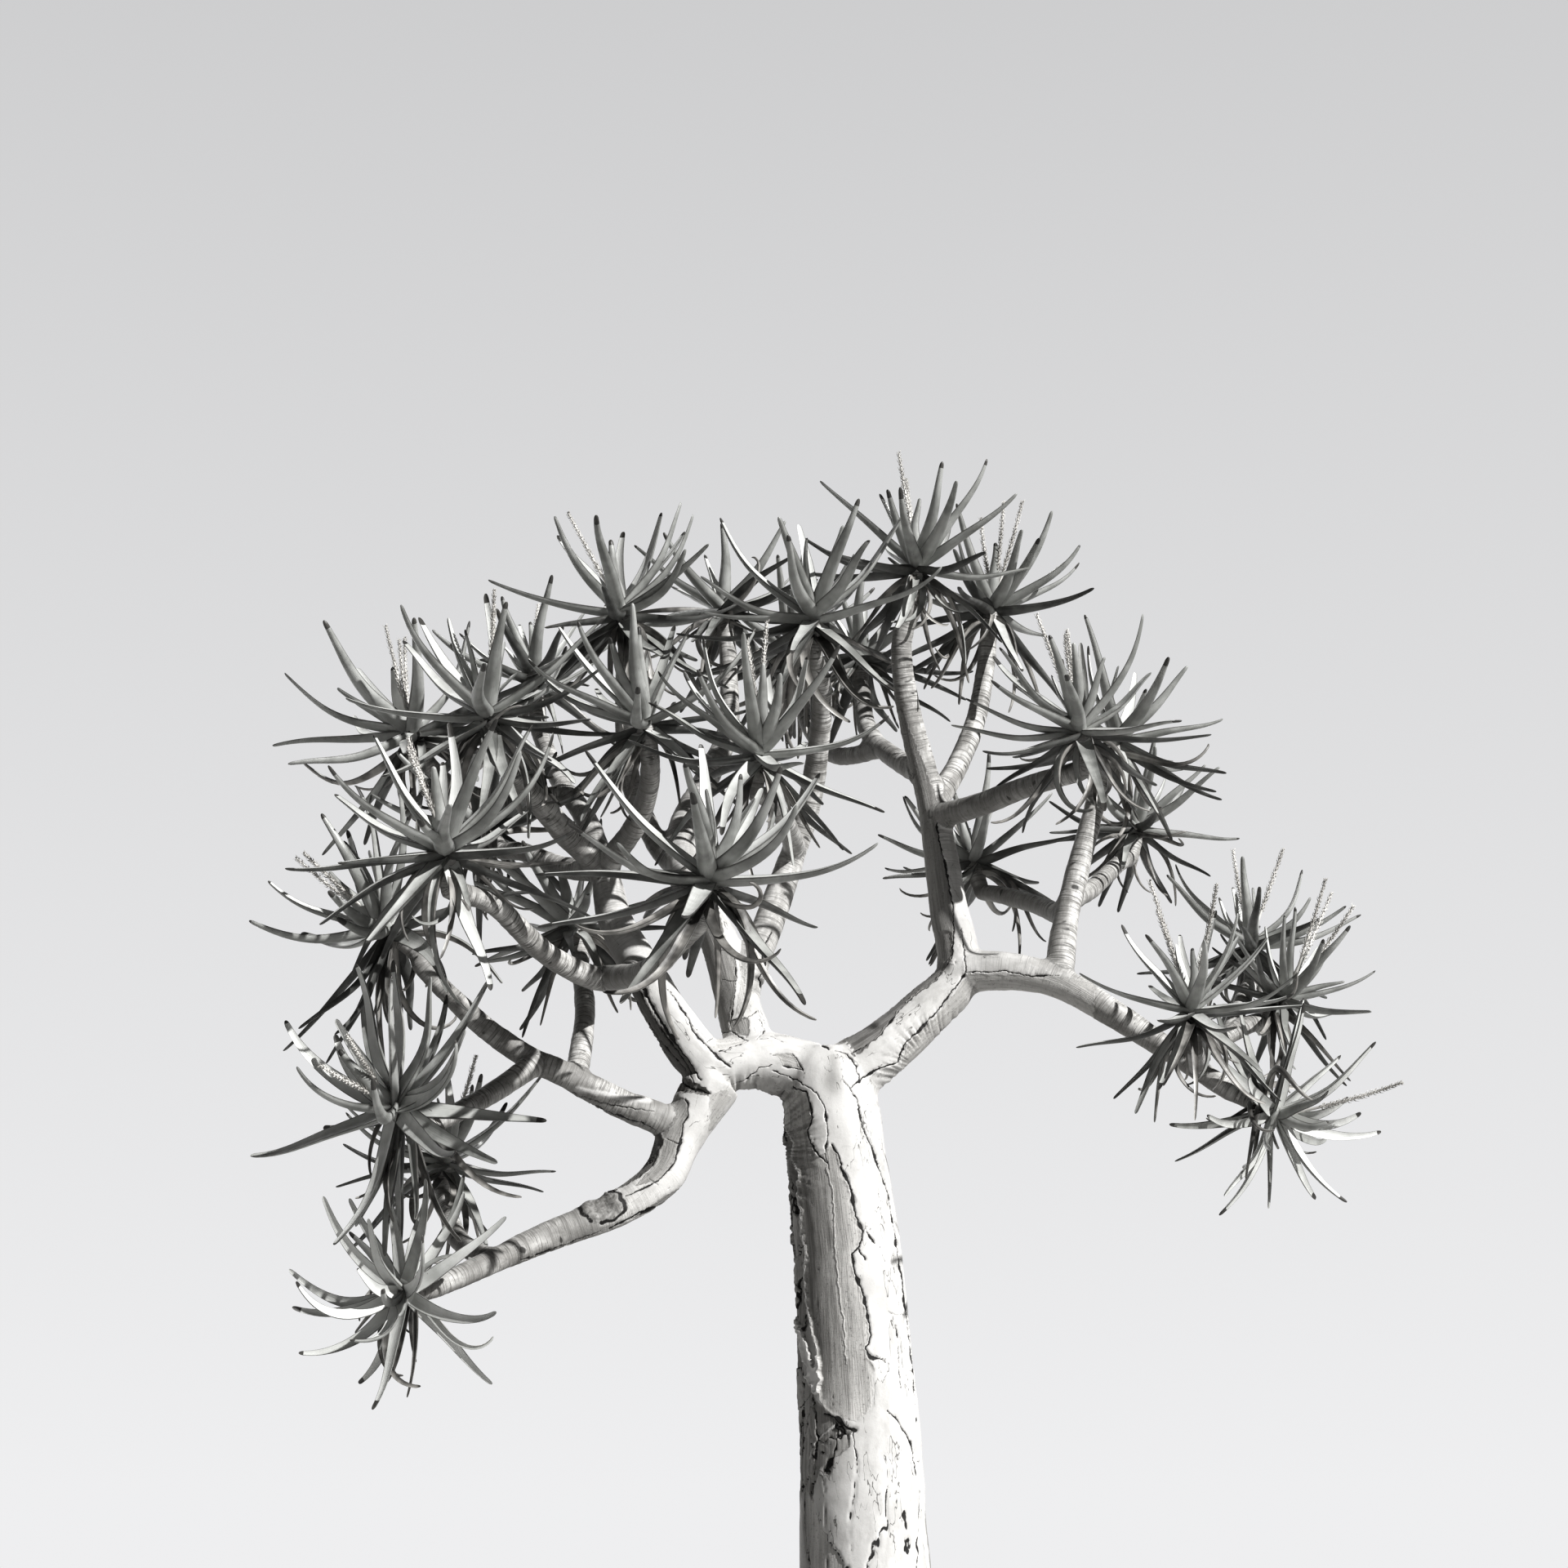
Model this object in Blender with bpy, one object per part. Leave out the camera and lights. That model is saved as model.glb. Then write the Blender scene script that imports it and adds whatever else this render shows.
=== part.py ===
"""A kokerboom, the forked tree aloe, at its real size in metres: a tapering trunk with a flared foot,
forked boughs and branches, and at the tip of each one a rosette of thick pointed leaves. +Z is up, and -Y
is the side that faces the viewer. The origin is the middle of the flat cut at ground level."""

import math
import random

import bmesh
import bpy
import numpy as np
from mathutils import Matrix, Vector

UP = Vector((0, 0, 1))
SEED = 41
# The clear space between two solids that touch in life
CLEAR = 0.0004

# Trunk
TRUNK_AXIS = [(0.0, 0.0, 0.0), (-0.005, 0.0, 0.4), (-0.022, 0.0, 0.85), (-0.046, 0.0, 1.23),
              (-0.078, 0.0, 1.51), (-0.1, 0.0, 1.7)]
TRUNK_RADIUS_AT_FORK = 0.105
TRUNK_TAPER = 0.034
ROOT_FLARE = 0.075
ROOT_FLARE_HEIGHT = 0.13
ROOT_LOBES = 5
ROOT_LOBE_DEPTH = 0.022
FORK_HEIGHT = 1.6
DOME_DROP = 0.62
TRUNK_SIDES = 16
TRUNK_HEIGHTS = (0.0, 0.07, 0.16, 0.32, 0.6, 0.85, 1.1, 1.35, 1.52, 1.6, 1.65, 1.69)

# Limbs: name, what each one leaves, the places that it runs through, the last of which is the middle of its
# rosette, and its radius where it leaves and at its tip
LIMBS = [
    ("bough_left", "trunk",
     [(-0.1, 0.0, 1.62), (-0.23, -0.02, 1.66), (-0.35, -0.05, 1.65), (-0.42, -0.05, 1.73),
      (-0.49, -0.02, 1.85), (-0.56, 0.03, 1.98), (-0.59, 0.07, 2.1), (-0.67, 0.0, 2.17),
      (-0.74, -0.1, 2.24), (-0.82, -0.25, 2.35)],
     0.068, 0.021),
    ("bough_low_left", "bough_left",
     [(-0.34, -0.05, 1.61), (-0.41, -0.08, 1.485), (-0.445, -0.11, 1.4), (-0.535, -0.15, 1.33),
      (-0.695, -0.2, 1.26), (-0.79, -0.27, 1.21), (-0.88, -0.35, 1.16), (-0.94, -0.42, 1.14)],
     0.056, 0.021),
    ("branch_low_left_upright", "bough_low_left",
     [(-0.79, -0.26, 1.21), (-0.87, -0.18, 1.26), (-0.91, -0.1, 1.35), (-0.92, -0.05, 1.41)],
     0.023, 0.019),
    ("bough_far_left", "bough_low_left",
     [(-0.39, -0.07, 1.5), (-0.465, -0.1, 1.53), (-0.535, -0.12, 1.555), (-0.655, -0.15, 1.615),
      (-0.725, -0.16, 1.645), (-0.81, -0.18, 1.7), (-0.88, -0.2, 1.76), (-0.96, -0.22, 1.84),
      (-1.01, -0.22, 1.9)],
     0.036, 0.02),
    ("branch_far_left_low", "bough_far_left",
     [(-0.71, -0.16, 1.64), (-0.8, -0.26, 1.56), (-0.88, -0.36, 1.5), (-0.96, -0.44, 1.5)],
     0.025, 0.02),
    ("branch_far_left_upright", "bough_far_left",
     [(-0.63, -0.14, 1.6), (-0.62, -0.02, 1.76), (-0.64, 0.12, 1.89), (-0.66, 0.22, 1.97)],
     0.025, 0.02),
    ("branch_front_left", "bough_left",
     [(-0.5, -0.02, 1.86), (-0.57, -0.2, 1.81), (-0.68, -0.36, 1.84), (-0.78, -0.5, 1.92),
      (-0.87, -0.58, 1.99)],
     0.03, 0.021),
    ("branch_front_middle", "branch_front_left",
     [(-0.57, -0.19, 1.815), (-0.47, -0.39, 1.8), (-0.39, -0.57, 1.84), (-0.34, -0.7, 1.91)],
     0.027, 0.022),
    ("branch_left_inner", "bough_left",
     [(-0.59, 0.07, 2.1), (-0.68, 0.15, 2.12), (-0.78, 0.23, 2.17), (-0.86, 0.3, 2.22)],
     0.028, 0.02),
    ("branch_back_left", "bough_left",
     [(-0.58, 0.06, 2.08), (-0.64, 0.24, 2.25), (-0.71, 0.4, 2.37), (-0.77, 0.54, 2.52), (-0.79, 0.6, 2.64)],
     0.03, 0.02),
    ("branch_back_far_left", "branch_back_left",
     [(-0.69, 0.35, 2.33), (-0.83, 0.38, 2.32), (-0.95, 0.39, 2.35), (-1.04, 0.36, 2.45)],
     0.024, 0.02),
    ("branch_left_top", "bough_left",
     [(-0.58, 0.06, 2.11), (-0.51, -0.05, 2.18), (-0.48, -0.15, 2.24), (-0.48, -0.26, 2.33)],
     0.027, 0.021),
    ("bough_centre", "bough_left",
     [(-0.25, -0.02, 1.66), (-0.29, 0.03, 1.8), (-0.33, 0.08, 1.94), (-0.4, 0.14, 2.07), (-0.42, 0.26, 2.22),
      (-0.37, 0.4, 2.37), (-0.32, 0.52, 2.52), (-0.32, 0.62, 2.7), (-0.33, 0.66, 2.83)],
     0.052, 0.021),
    ("branch_top_left", "bough_centre",
     [(-0.405, 0.16, 2.1), (-0.48, 0.25, 2.2), (-0.54, 0.24, 2.35), (-0.55, 0.15, 2.52), (-0.55, 0.06, 2.66)],
     0.028, 0.021),
    ("bough_centre_right", "bough_centre",
     [(-0.29, 0.02, 1.77), (-0.255, 0.06, 1.89), (-0.22, 0.1, 1.98), (-0.175, 0.15, 2.12),
      (-0.13, 0.15, 2.26), (-0.11, 0.1, 2.37), (-0.1, 0.0, 2.49), (-0.12, -0.12, 2.6)],
     0.04, 0.021),
    ("branch_front_centre", "bough_centre_right",
     [(-0.16, 0.15, 2.16), (-0.18, -0.05, 2.18), (-0.22, -0.27, 2.19), (-0.24, -0.4, 2.23)],
     0.024, 0.019),
    ("bough_right", "trunk",
     [(-0.08, 0.0, 1.61), (0.035, 0.0, 1.69), (0.135, 0.02, 1.78), (0.2, 0.03, 1.86), (0.18, 0.05, 2.01),
      (0.16, 0.08, 2.17), (0.145, 0.1, 2.27), (0.1, 0.08, 2.45), (0.08, 0.05, 2.61), (0.115, 0.03, 2.76)],
     0.067, 0.021),
    ("branch_right_top", "bough_right",
     [(0.15, 0.09, 2.25), (0.21, 0.18, 2.36), (0.26, 0.25, 2.49), (0.285, 0.3, 2.62), (0.3, 0.32, 2.74)],
     0.028, 0.021),
    ("branch_right_front", "bough_right",
     [(0.155, 0.085, 2.22), (0.25, -0.02, 2.23), (0.36, -0.14, 2.25), (0.46, -0.23, 2.32)],
     0.028, 0.022),
    ("branch_back_centre", "bough_right",
     [(0.13, 0.09, 2.32), (0.05, 0.25, 2.41), (0.01, 0.36, 2.49), (0.0, 0.48, 2.61), (0.0, 0.54, 2.68)],
     0.027, 0.02),
    ("branch_back", "branch_back_centre",
     [(0.04, 0.27, 2.42), (-0.06, 0.43, 2.44), (-0.12, 0.56, 2.53), (-0.15, 0.69, 2.67), (-0.16, 0.74, 2.75)],
     0.022, 0.019),
    ("bough_far_right", "bough_right",
     [(0.19, 0.03, 1.86), (0.31, 0.0, 1.86), (0.42, -0.02, 1.83), (0.53, -0.05, 1.76), (0.64, -0.08, 1.68),
      (0.76, -0.12, 1.59), (0.84, -0.15, 1.545)],
     0.046, 0.021),
    ("branch_right_upright", "bough_far_right",
     [(0.415, -0.02, 1.83), (0.44, 0.05, 1.98), (0.49, 0.12, 2.16), (0.54, 0.17, 2.33), (0.565, 0.17, 2.39)],
     0.033, 0.022),
    ("branch_back_right_inner", "branch_right_upright",
     [(0.44, 0.06, 1.99), (0.39, 0.19, 2.04), (0.31, 0.33, 2.09), (0.265, 0.43, 2.16)],
     0.024, 0.019),
    ("branch_back_right", "branch_right_upright",
     [(0.45, 0.07, 2.03), (0.52, 0.25, 2.09), (0.6, 0.42, 2.18), (0.65, 0.53, 2.26)],
     0.024, 0.019),
    ("branch_far_right_front", "bough_far_right",
     [(0.71, -0.1, 1.63), (0.685, -0.23, 1.65), (0.67, -0.31, 1.7)],
     0.021, 0.018),
    ("branch_far_right_end", "bough_far_right",
     [(0.66, -0.09, 1.66), (0.77, 0.02, 1.71), (0.86, 0.08, 1.76), (0.91, 0.1, 1.79)],
     0.025, 0.02),
    ("branch_far_right_upright", "branch_far_right_end",
     [(0.79, 0.035, 1.72), (0.85, 0.18, 1.83), (0.88, 0.26, 1.93)],
     0.021, 0.018),
]
LIMB_TAPER_POWER = 1.3
LIMB_RING_SPACING = 0.115
LIMB_TIP_LENGTH = 0.03
ROSETTE_DEPTH = 0.055
THICK_LIMB = 0.038
THICK_LIMB_SIDES = 9
THIN_LIMB_SIDES = 7

# Rosettes: the limb that carries each one, the way its middle points, the turn of its first leaf in degrees,
# the length of its longest leaves, and how much more than usual its leaves curl up
ROSETTES = [
    ("branch_front_middle", (0.15, -0.35, 1.0), 20, 0.37, 0.0),
    ("branch_front_left", (-0.1, -0.3, 1.0), 75, 0.35, 0.0),
    ("branch_far_right_front", (-0.1, -0.3, 1.0), 130, 0.27, 0.0),
    ("bough_centre_right", (0.0, -0.2, 1.0), 10, 0.33, 0.0),
    ("bough_left", (-0.12, -0.3, 1.0), 200, 0.34, 0.0),
    ("branch_front_centre", (0.15, -0.3, 1.0), 310, 0.32, 0.0),
    ("bough_low_left", (-0.45, -0.85, -0.1), 250, 0.27, 0.7),
    ("branch_far_left_low", (-0.6, -0.6, 0.35), 95, 0.34, 0.5),
    ("bough_far_right", (0.65, -0.4, -0.4), 160, 0.27, 0.4),
    ("bough_right", (0.1, -0.05, 1.0), 45, 0.3, 0.1),
    ("branch_left_top", (-0.15, -0.25, 1.0), 280, 0.32, 0.0),
    ("branch_right_front", (-0.2, -0.25, 1.0), 330, 0.3, 0.0),
    ("branch_top_left", (-0.2, -0.15, 1.0), 115, 0.33, 0.1),
    ("bough_far_left", (-0.75, -0.15, 0.6), 60, 0.34, 0.0),
    ("branch_right_upright", (0.4, 0.1, 1.0), 220, 0.3, 0.0),
    ("branch_far_right_end", (0.6, 0.05, 0.75), 350, 0.24, 0.0),
    ("branch_low_left_upright", (0.15, -0.2, 1.0), 5, 0.28, 0.1),
    ("branch_far_right_upright", (0.05, 0.25, 1.0), 150, 0.27, 0.0),
    ("branch_right_top", (0.15, 0.2, 1.0), 85, 0.29, 0.1),
    ("branch_back_far_left", (-0.45, 0.05, 0.85), 240, 0.37, -0.1),
    ("branch_back_right", (0.25, 0.3, 1.0), 30, 0.25, 0.0),
    ("branch_back_right_inner", (-0.25, 0.3, 1.0), 300, 0.27, 0.0),
    ("bough_centre", (-0.1, 0.25, 1.0), 180, 0.3, 0.0),
    ("branch_back_left", (-0.15, 0.3, 1.0), 140, 0.3, 0.0),
    ("branch_back_centre", (0.05, 0.25, 1.0), 260, 0.28, 0.0),
    ("branch_back", (-0.15, 0.5, 1.0), 70, 0.29, 0.0),
    ("branch_left_inner", (-0.5, 0.45, 0.7), 190, 0.29, 0.0),
    ("branch_far_left_upright", (-0.3, 0.25, 0.9), 325, 0.29, -0.2),
]
LEAVES = 17
GOLDEN_ANGLE = math.radians(137.508)
INNER_POLAR, OUTER_POLAR = math.radians(9), math.radians(128)
POLAR_POWER = 0.75

# A leaf, in shares of its length, of its width or of its rosette's age from the innermost leaf to the lowest
LEAF_WIDTH_SHARE = 0.13
LEAF_THICKNESS_SHARE = 0.36
LEAF_ROOT_WIDTH = 0.78
LEAF_WIDEST = 0.2
LEAF_TAPER_POWER = 0.72
KEEL_SHARE = 0.7
LEAF_STATIONS = (0.2, 0.6)
INNER_LENGTH = 0.5
GROWN_AGE = 0.22
LEAF_LIFT = 0.42
DROOP_AGE = 0.74
LEAF_ROOT_OFFSET = 0.004
LEAF_STEPS = 24
LEAF_FREE_FROM = 3

# How a leaf finds a free place: the clear space round it, and how often and how it is tried again
LEAF_ROOM = 0.004
TRIES = 14
SHRINK_TO_FIT = 0.3
FINE_SPACING = 0.012

# The core that the leaves grow from: shares of its length with the scale of its radius there
CORE_LENGTH = 0.076
CORE_PROFILE = ((0.0, 1.0), (0.35, 1.45), (0.75, 1.3), (1.0, 0.55))
TOP_LEAF_HEIGHT, LOW_LEAF_HEIGHT = 0.92, 0.5
CORE_SIDES = 7

# Dry flower stalks: the rosettes that carry them, and how many
STALKS = {"branch_back_far_left": 2, "branch_far_right_front": 2, "branch_far_right_end": 1,
          "branch_right_top": 2, "bough_right": 1, "branch_front_centre": 1, "branch_front_left": 1,
          "bough_far_left": 2, "branch_far_left_low": 2, "bough_left": 1, "branch_right_front": 1,
          "bough_far_right": 1}
STALK_LENGTH = 0.23
STALK_RADIUS = 0.0035
STALK_SEGMENT_STEPS = 8

MATERIALS = {
    "trunk_bark": ((0.62, 0.58, 0.51), 0.75),
    "branch_bark": ((0.66, 0.63, 0.57), 0.6),
    "leaf": ((0.17, 0.2, 0.165), 0.5),
}


def clear_scene():
    for obj in list(bpy.data.objects):
        bpy.data.objects.remove(obj)


def material(name):
    found = bpy.data.materials.get(name)
    if found:
        return found
    colour, roughness = MATERIALS[name]
    made = bpy.data.materials.new(name)
    made.use_nodes = True
    shader = made.node_tree.nodes["Principled BSDF"]
    shader.inputs["Base Color"].default_value = (*colour, 1)
    shader.inputs["Roughness"].default_value = roughness
    shader.inputs["Metallic"].default_value = 0.0
    return made


def smooth_path(places, spacing):
    """Points about spacing apart on a Catmull-Rom curve through the places."""
    points = [Vector(place) for place in places]
    ends = [2 * points[0] - points[1], *points, 2 * points[-1] - points[-2]]
    path = [points[0].copy()]
    for before, start, end, after in zip(ends, ends[1:], ends[2:], ends[3:]):
        steps = max(1, round((end - start).length / spacing))
        for step in range(1, steps + 1):
            t = step / steps
            path.append(0.5 * (2 * start + (end - before) * t
                               + (2 * before - 5 * start + 4 * end - after) * t * t
                               + (3 * start - before - 3 * end + after) * t ** 3))
    return path


def shares_along(path):
    """How far along the path each point is, from 0 to 1."""
    lengths = [0.0]
    for start, end in zip(path, path[1:]):
        lengths.append(lengths[-1] + (end - start).length)
    return [length / lengths[-1] for length in lengths]


def limb_radii(path, radius_at_start, radius_at_tip):
    return [radius_at_tip + (radius_at_start - radius_at_tip) * (1 - share) ** LIMB_TAPER_POWER
            for share in shares_along(path)]


def frames_along(path, side=Vector((0, 1, 0.01))):
    """A tangent, side and normal at each point, turned as little as possible from one point to the next."""
    frames = []
    for index in range(len(path)):
        tangent = (path[min(index + 1, len(path) - 1)] - path[max(index - 1, 0)]).normalized()
        side = (side - tangent * side.dot(tangent)).normalized()
        frames.append((tangent, side, tangent.cross(side)))
    return frames


def new_object(name, mesh_data, slot, collection=None):
    mesh = bpy.data.meshes.new(name)
    mesh_data.to_mesh(mesh)
    mesh_data.free()
    mesh.materials.append(material(slot))
    obj = bpy.data.objects.new(name, mesh)
    (collection or bpy.context.scene.collection).objects.link(obj)
    return obj


def rings_to_mesh(rings, root=None, tip=None):
    """A closed mesh through rings of points that turn the same way. Each end is a flat cap, or a point
    where one is given. Its sides are triangles, so that a fatter copy has its creases in the same places."""
    shape = bmesh.new()
    loops = [[shape.verts.new(point) for point in ring] for ring in rings]
    for lower, upper in zip(loops, loops[1:]):
        for index in range(len(lower)):
            following = (index + 1) % len(lower)
            shape.faces.new((lower[index], lower[following], upper[following]))
            shape.faces.new((lower[index], upper[following], upper[index]))
    for loop, point in ((loops[0], root), (loops[-1], tip)):
        if point is None:
            shape.faces.new(loop)
        else:
            end = shape.verts.new(point)
            for index in range(len(loop)):
                shape.faces.new((loop[index], loop[(index + 1) % len(loop)], end))
    bmesh.ops.recalc_face_normals(shape, faces=shape.faces)
    return shape


def tube(path, radii, sides):
    rings = []
    for point, radius, (_, side, normal) in zip(path, radii, frames_along(path)):
        turns = [2 * math.pi * index / sides for index in range(sides)]
        rings.append([point + radius * (side * math.cos(turn) + normal * math.sin(turn)) for turn in turns])
    return rings_to_mesh(rings)


def apply_boolean(obj, collection, operation):
    """Joins or cuts obj by everything in the collection, applies that, and removes the collection."""
    modifier = obj.modifiers.new(operation.title(), "BOOLEAN")
    modifier.operation = operation
    modifier.operand_type = "COLLECTION"
    modifier.collection = collection
    modifier.solver = "EXACT"
    graph = bpy.context.evaluated_depsgraph_get()
    result = bpy.data.meshes.new_from_object(obj.evaluated_get(graph))
    obj.modifiers.clear()
    obj.data = result
    for helper in list(collection.objects):
        bpy.data.objects.remove(helper)
    bpy.data.collections.remove(collection)


def keep_largest_body(obj):
    """Removes the scraps that a cut leaves where a limb's root comes out of its parent's far side."""
    shape = bmesh.new()
    shape.from_mesh(obj.data)
    bodies, unseen = [], set(shape.verts)
    while unseen:
        body, to_visit = [], [unseen.pop()]
        while to_visit:
            vert = to_visit.pop()
            body.append(vert)
            neighbours = {edge.other_vert(vert) for edge in vert.link_edges} & unseen
            unseen -= neighbours
            to_visit.extend(neighbours)
        bodies.append(body)
    bodies.sort(key=len, reverse=True)
    scraps = [vert for body in bodies[1:] for vert in body]
    bmesh.ops.delete(shape, geom=scraps, context="VERTS")
    shape.to_mesh(obj.data)
    shape.free()


def helper_collection(name):
    collection = bpy.data.collections.new(name)
    bpy.context.scene.collection.children.link(collection)
    return collection


def shade(obj):
    obj.data.shade_smooth()
    obj.data.set_sharp_from_angle(angle=math.radians(35))


def trunk_radius(height, turn):
    """The trunk's radius at a height, with the flare and lobes at its foot and the dome above its fork."""
    radius = TRUNK_RADIUS_AT_FORK + TRUNK_TAPER * max(0.0, FORK_HEIGHT - height)
    foot = math.exp(-height / ROOT_FLARE_HEIGHT)
    radius += foot * (ROOT_FLARE + ROOT_LOBE_DEPTH * math.cos(ROOT_LOBES * turn))
    above_fork = max(0.0, height - FORK_HEIGHT) / (TRUNK_HEIGHTS[-1] - FORK_HEIGHT)
    return radius * math.sqrt(1 - DOME_DROP * above_fork ** 2)


def trunk_centre(height):
    for start, end in zip(TRUNK_AXIS, TRUNK_AXIS[1:]):
        if height <= end[2]:
            return Vector(start).lerp(Vector(end), (height - start[2]) / (end[2] - start[2]))
    return Vector(TRUNK_AXIS[-1])


def trunk_mesh(swell):
    rings = []
    for height in TRUNK_HEIGHTS:
        turns = [2 * math.pi * index / TRUNK_SIDES for index in range(TRUNK_SIDES)]
        top = swell if height == TRUNK_HEIGHTS[-1] else 0.0
        rings.append([trunk_centre(height) + Vector((math.cos(turn), math.sin(turn), 0))
                      * (trunk_radius(height, turn) + swell) + UP * top for turn in turns])
    return rings_to_mesh(rings)


def limb_path(limb, spacing):
    """The limb's middle line. Its last short piece points the way of its rosette, whose leaves part at the
    limb's last place."""
    axis = next(Vector(rosette[1]).normalized() for rosette in ROSETTES if rosette[0] == limb[0])
    bend = Vector(limb[2][-1]) - axis * ROSETTE_DEPTH
    return [*smooth_path([*limb[2][:-1], bend], spacing), bend + axis * LIMB_TIP_LENGTH]


def limb_mesh(limb, swell):
    """A limb's tube, or a copy that is fatter and longer by swell, to cut its neighbours clear of it."""
    _, _, _, radius_at_start, radius_at_tip = limb
    path = limb_path(limb, LIMB_RING_SPACING)
    radii = [radius + swell for radius in limb_radii(path, radius_at_start, radius_at_tip)]
    path[-1] = path[-1] + (path[-1] - path[-2]).normalized() * swell
    return tube(path, radii, THICK_LIMB_SIDES if radius_at_start > THICK_LIMB else THIN_LIMB_SIDES)


def nearest(first, second):
    """The smallest distance between two lists of points."""
    a, b = np.array(first), np.array(second)
    return float(np.sqrt(((a[:, None] - b[None]) ** 2).sum(-1)).min())


def build_trunk():
    shade(new_object("trunk", trunk_mesh(0.0), "trunk_bark"))


def build_limbs():
    """Each limb, cut clear of the trunk and of the limbs before it that it meets."""
    earlier = []
    for limb in LIMBS:
        name, _, places, radius_at_start, _ = limb
        slot = "trunk_bark" if radius_at_start > THICK_LIMB else "branch_bark"
        obj = new_object(name, limb_mesh(limb, 0.0), slot)
        cutters = helper_collection(name + "_cutters")
        fine = limb_path(limb, 0.02)
        if places[0][2] < TRUNK_HEIGHTS[-1]:
            new_object(name + "_cutter_trunk", trunk_mesh(CLEAR), slot, cutters)
        for other, other_fine in earlier:
            if nearest(fine, other_fine) < radius_at_start + other[3]:
                new_object(f"{name}_cutter_{other[0]}", limb_mesh(other, CLEAR), slot, cutters)
        apply_boolean(obj, cutters, "DIFFERENCE")
        keep_largest_body(obj)
        shade(obj)
        earlier.append((limb, fine))


class Space:
    """Points along all that has grown so far, each with the room that it takes and the name of its owner."""

    def __init__(self):
        self.points, self.rooms, self.owners = [], [], []

    def add(self, points, rooms, owner):
        self.points.extend(tuple(point) for point in points)
        self.rooms.extend(rooms)
        self.owners.extend([owner] * len(points))

    def pick(self, keep):
        keep = np.array([keep(owner) for owner in self.owners])
        return np.array(self.points)[keep], np.array(self.rooms)[keep]

    def without(self, owners):
        return self.pick(lambda owner: owner not in owners)

    def only(self, name):
        return self.pick(lambda owner: owner == name)


def is_free(points, rooms, others):
    other_points, other_rooms = others
    distance = np.sqrt(((np.array(points)[:, None] - other_points[None]) ** 2).sum(-1))
    return bool((distance > np.array(rooms)[:, None] + other_rooms[None]).all())


def leaf_half_width(share, length):
    """Half a leaf's width at a share of its length: a clasping root, widest low down, and a long taper."""
    clasp = LEAF_ROOT_WIDTH + (1 - LEAF_ROOT_WIDTH) * min(1.0, share / LEAF_WIDEST)
    return 0.5 * LEAF_WIDTH_SHARE * length * clasp * max(0.0, 1 - share) ** LEAF_TAPER_POWER


def leaf_path(root, heading, length, turn_up, curl):
    """A leaf's middle line. It bends up by turn_up and sideways by curl, in radians over its length."""
    path = [root.copy()]
    heading = heading.normalized()
    sideways = heading.cross(UP)
    sideways = sideways.normalized() if sideways.length > 0.1 else Vector((1, 0, 0))
    for step in range(LEAF_STEPS):
        bend = (0.5 + (step + 0.5) / LEAF_STEPS) / LEAF_STEPS
        heading = (heading + UP * turn_up * bend + sideways * curl * bend).normalized()
        path.append(path[-1] + heading * length / LEAF_STEPS)
    return path


def leaf_mesh(path, across, length):
    """A leaf from a point in the core to its tip, three-sided, with a flat upper face and a keel below."""
    frames = frames_along(path, across)
    rings = []
    for share in LEAF_STATIONS:
        index = round(share * LEAF_STEPS)
        _, side, upward = frames[index]
        half = leaf_half_width(share, length)
        thickness = 2 * half * LEAF_THICKNESS_SHARE
        rings.append([path[index] + side * half + upward * (1 - KEEL_SHARE) * thickness,
                      path[index] - side * half + upward * (1 - KEEL_SHARE) * thickness,
                      path[index] - upward * KEEL_SHARE * thickness])
    return rings_to_mesh(rings, root=path[0], tip=path[-1])


def rosette_frame(axis, phase):
    """The rosette's axis, and two directions square to it, turned by its phase."""
    axis = Vector(axis).normalized()
    side = axis.cross(Vector((0, 1, 0.02))).normalized()
    side = Matrix.Rotation(math.radians(phase), 3, axis) @ side
    return axis, side, axis.cross(side)


def plan_leaf(rng, number, longest, curl_up):
    """A leaf's shape by its place in the spiral, from the innermost to the lowest, with swings to try."""
    age = number / (LEAVES - 1)
    grown = INNER_LENGTH + (1 - INNER_LENGTH) * min(1.0, age / GROWN_AGE)
    return {
        "turn": number * GOLDEN_ANGLE + rng.uniform(-0.12, 0.12),
        "polar": INNER_POLAR + (OUTER_POLAR - INNER_POLAR) * age ** POLAR_POWER + rng.uniform(-0.1, 0.1),
        "length": longest * grown * rng.uniform(0.86, 1.0),
        "turn_up": LEAF_LIFT * (1 - (age / DROOP_AGE) ** 3) + curl_up + rng.uniform(-0.22, 0.22),
        "curl": rng.uniform(-0.22, 0.22),
        "height": CORE_LENGTH * (TOP_LEAF_HEIGHT + (LOW_LEAF_HEIGHT - TOP_LEAF_HEIGHT) * age),
        "jitters": [[rng.uniform(-most, most) for most in (0.5, 0.4, 0.35)] for _ in range(TRIES)],
    }


def grow_leaf(plan, base, frame, attempt):
    """The line of a planned leaf. Later attempts swing it further aside, and make it a little shorter."""
    axis, side, normal = frame
    reach = attempt / TRIES
    swing, tilt, bend = (value * (0.3 + reach) if attempt else 0.0 for value in plan["jitters"][attempt])
    turn = plan["turn"] + swing
    outward = side * math.cos(turn) + normal * math.sin(turn)
    heading = axis * math.cos(plan["polar"] + tilt) + outward * math.sin(plan["polar"] + tilt)
    root = base + axis * plan["height"] + outward * LEAF_ROOT_OFFSET
    length = plan["length"] * (1 - SHRINK_TO_FIT * reach)
    return leaf_path(root, heading, length, plan["turn_up"] + bend, plan["curl"]), axis.cross(outward)


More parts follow.
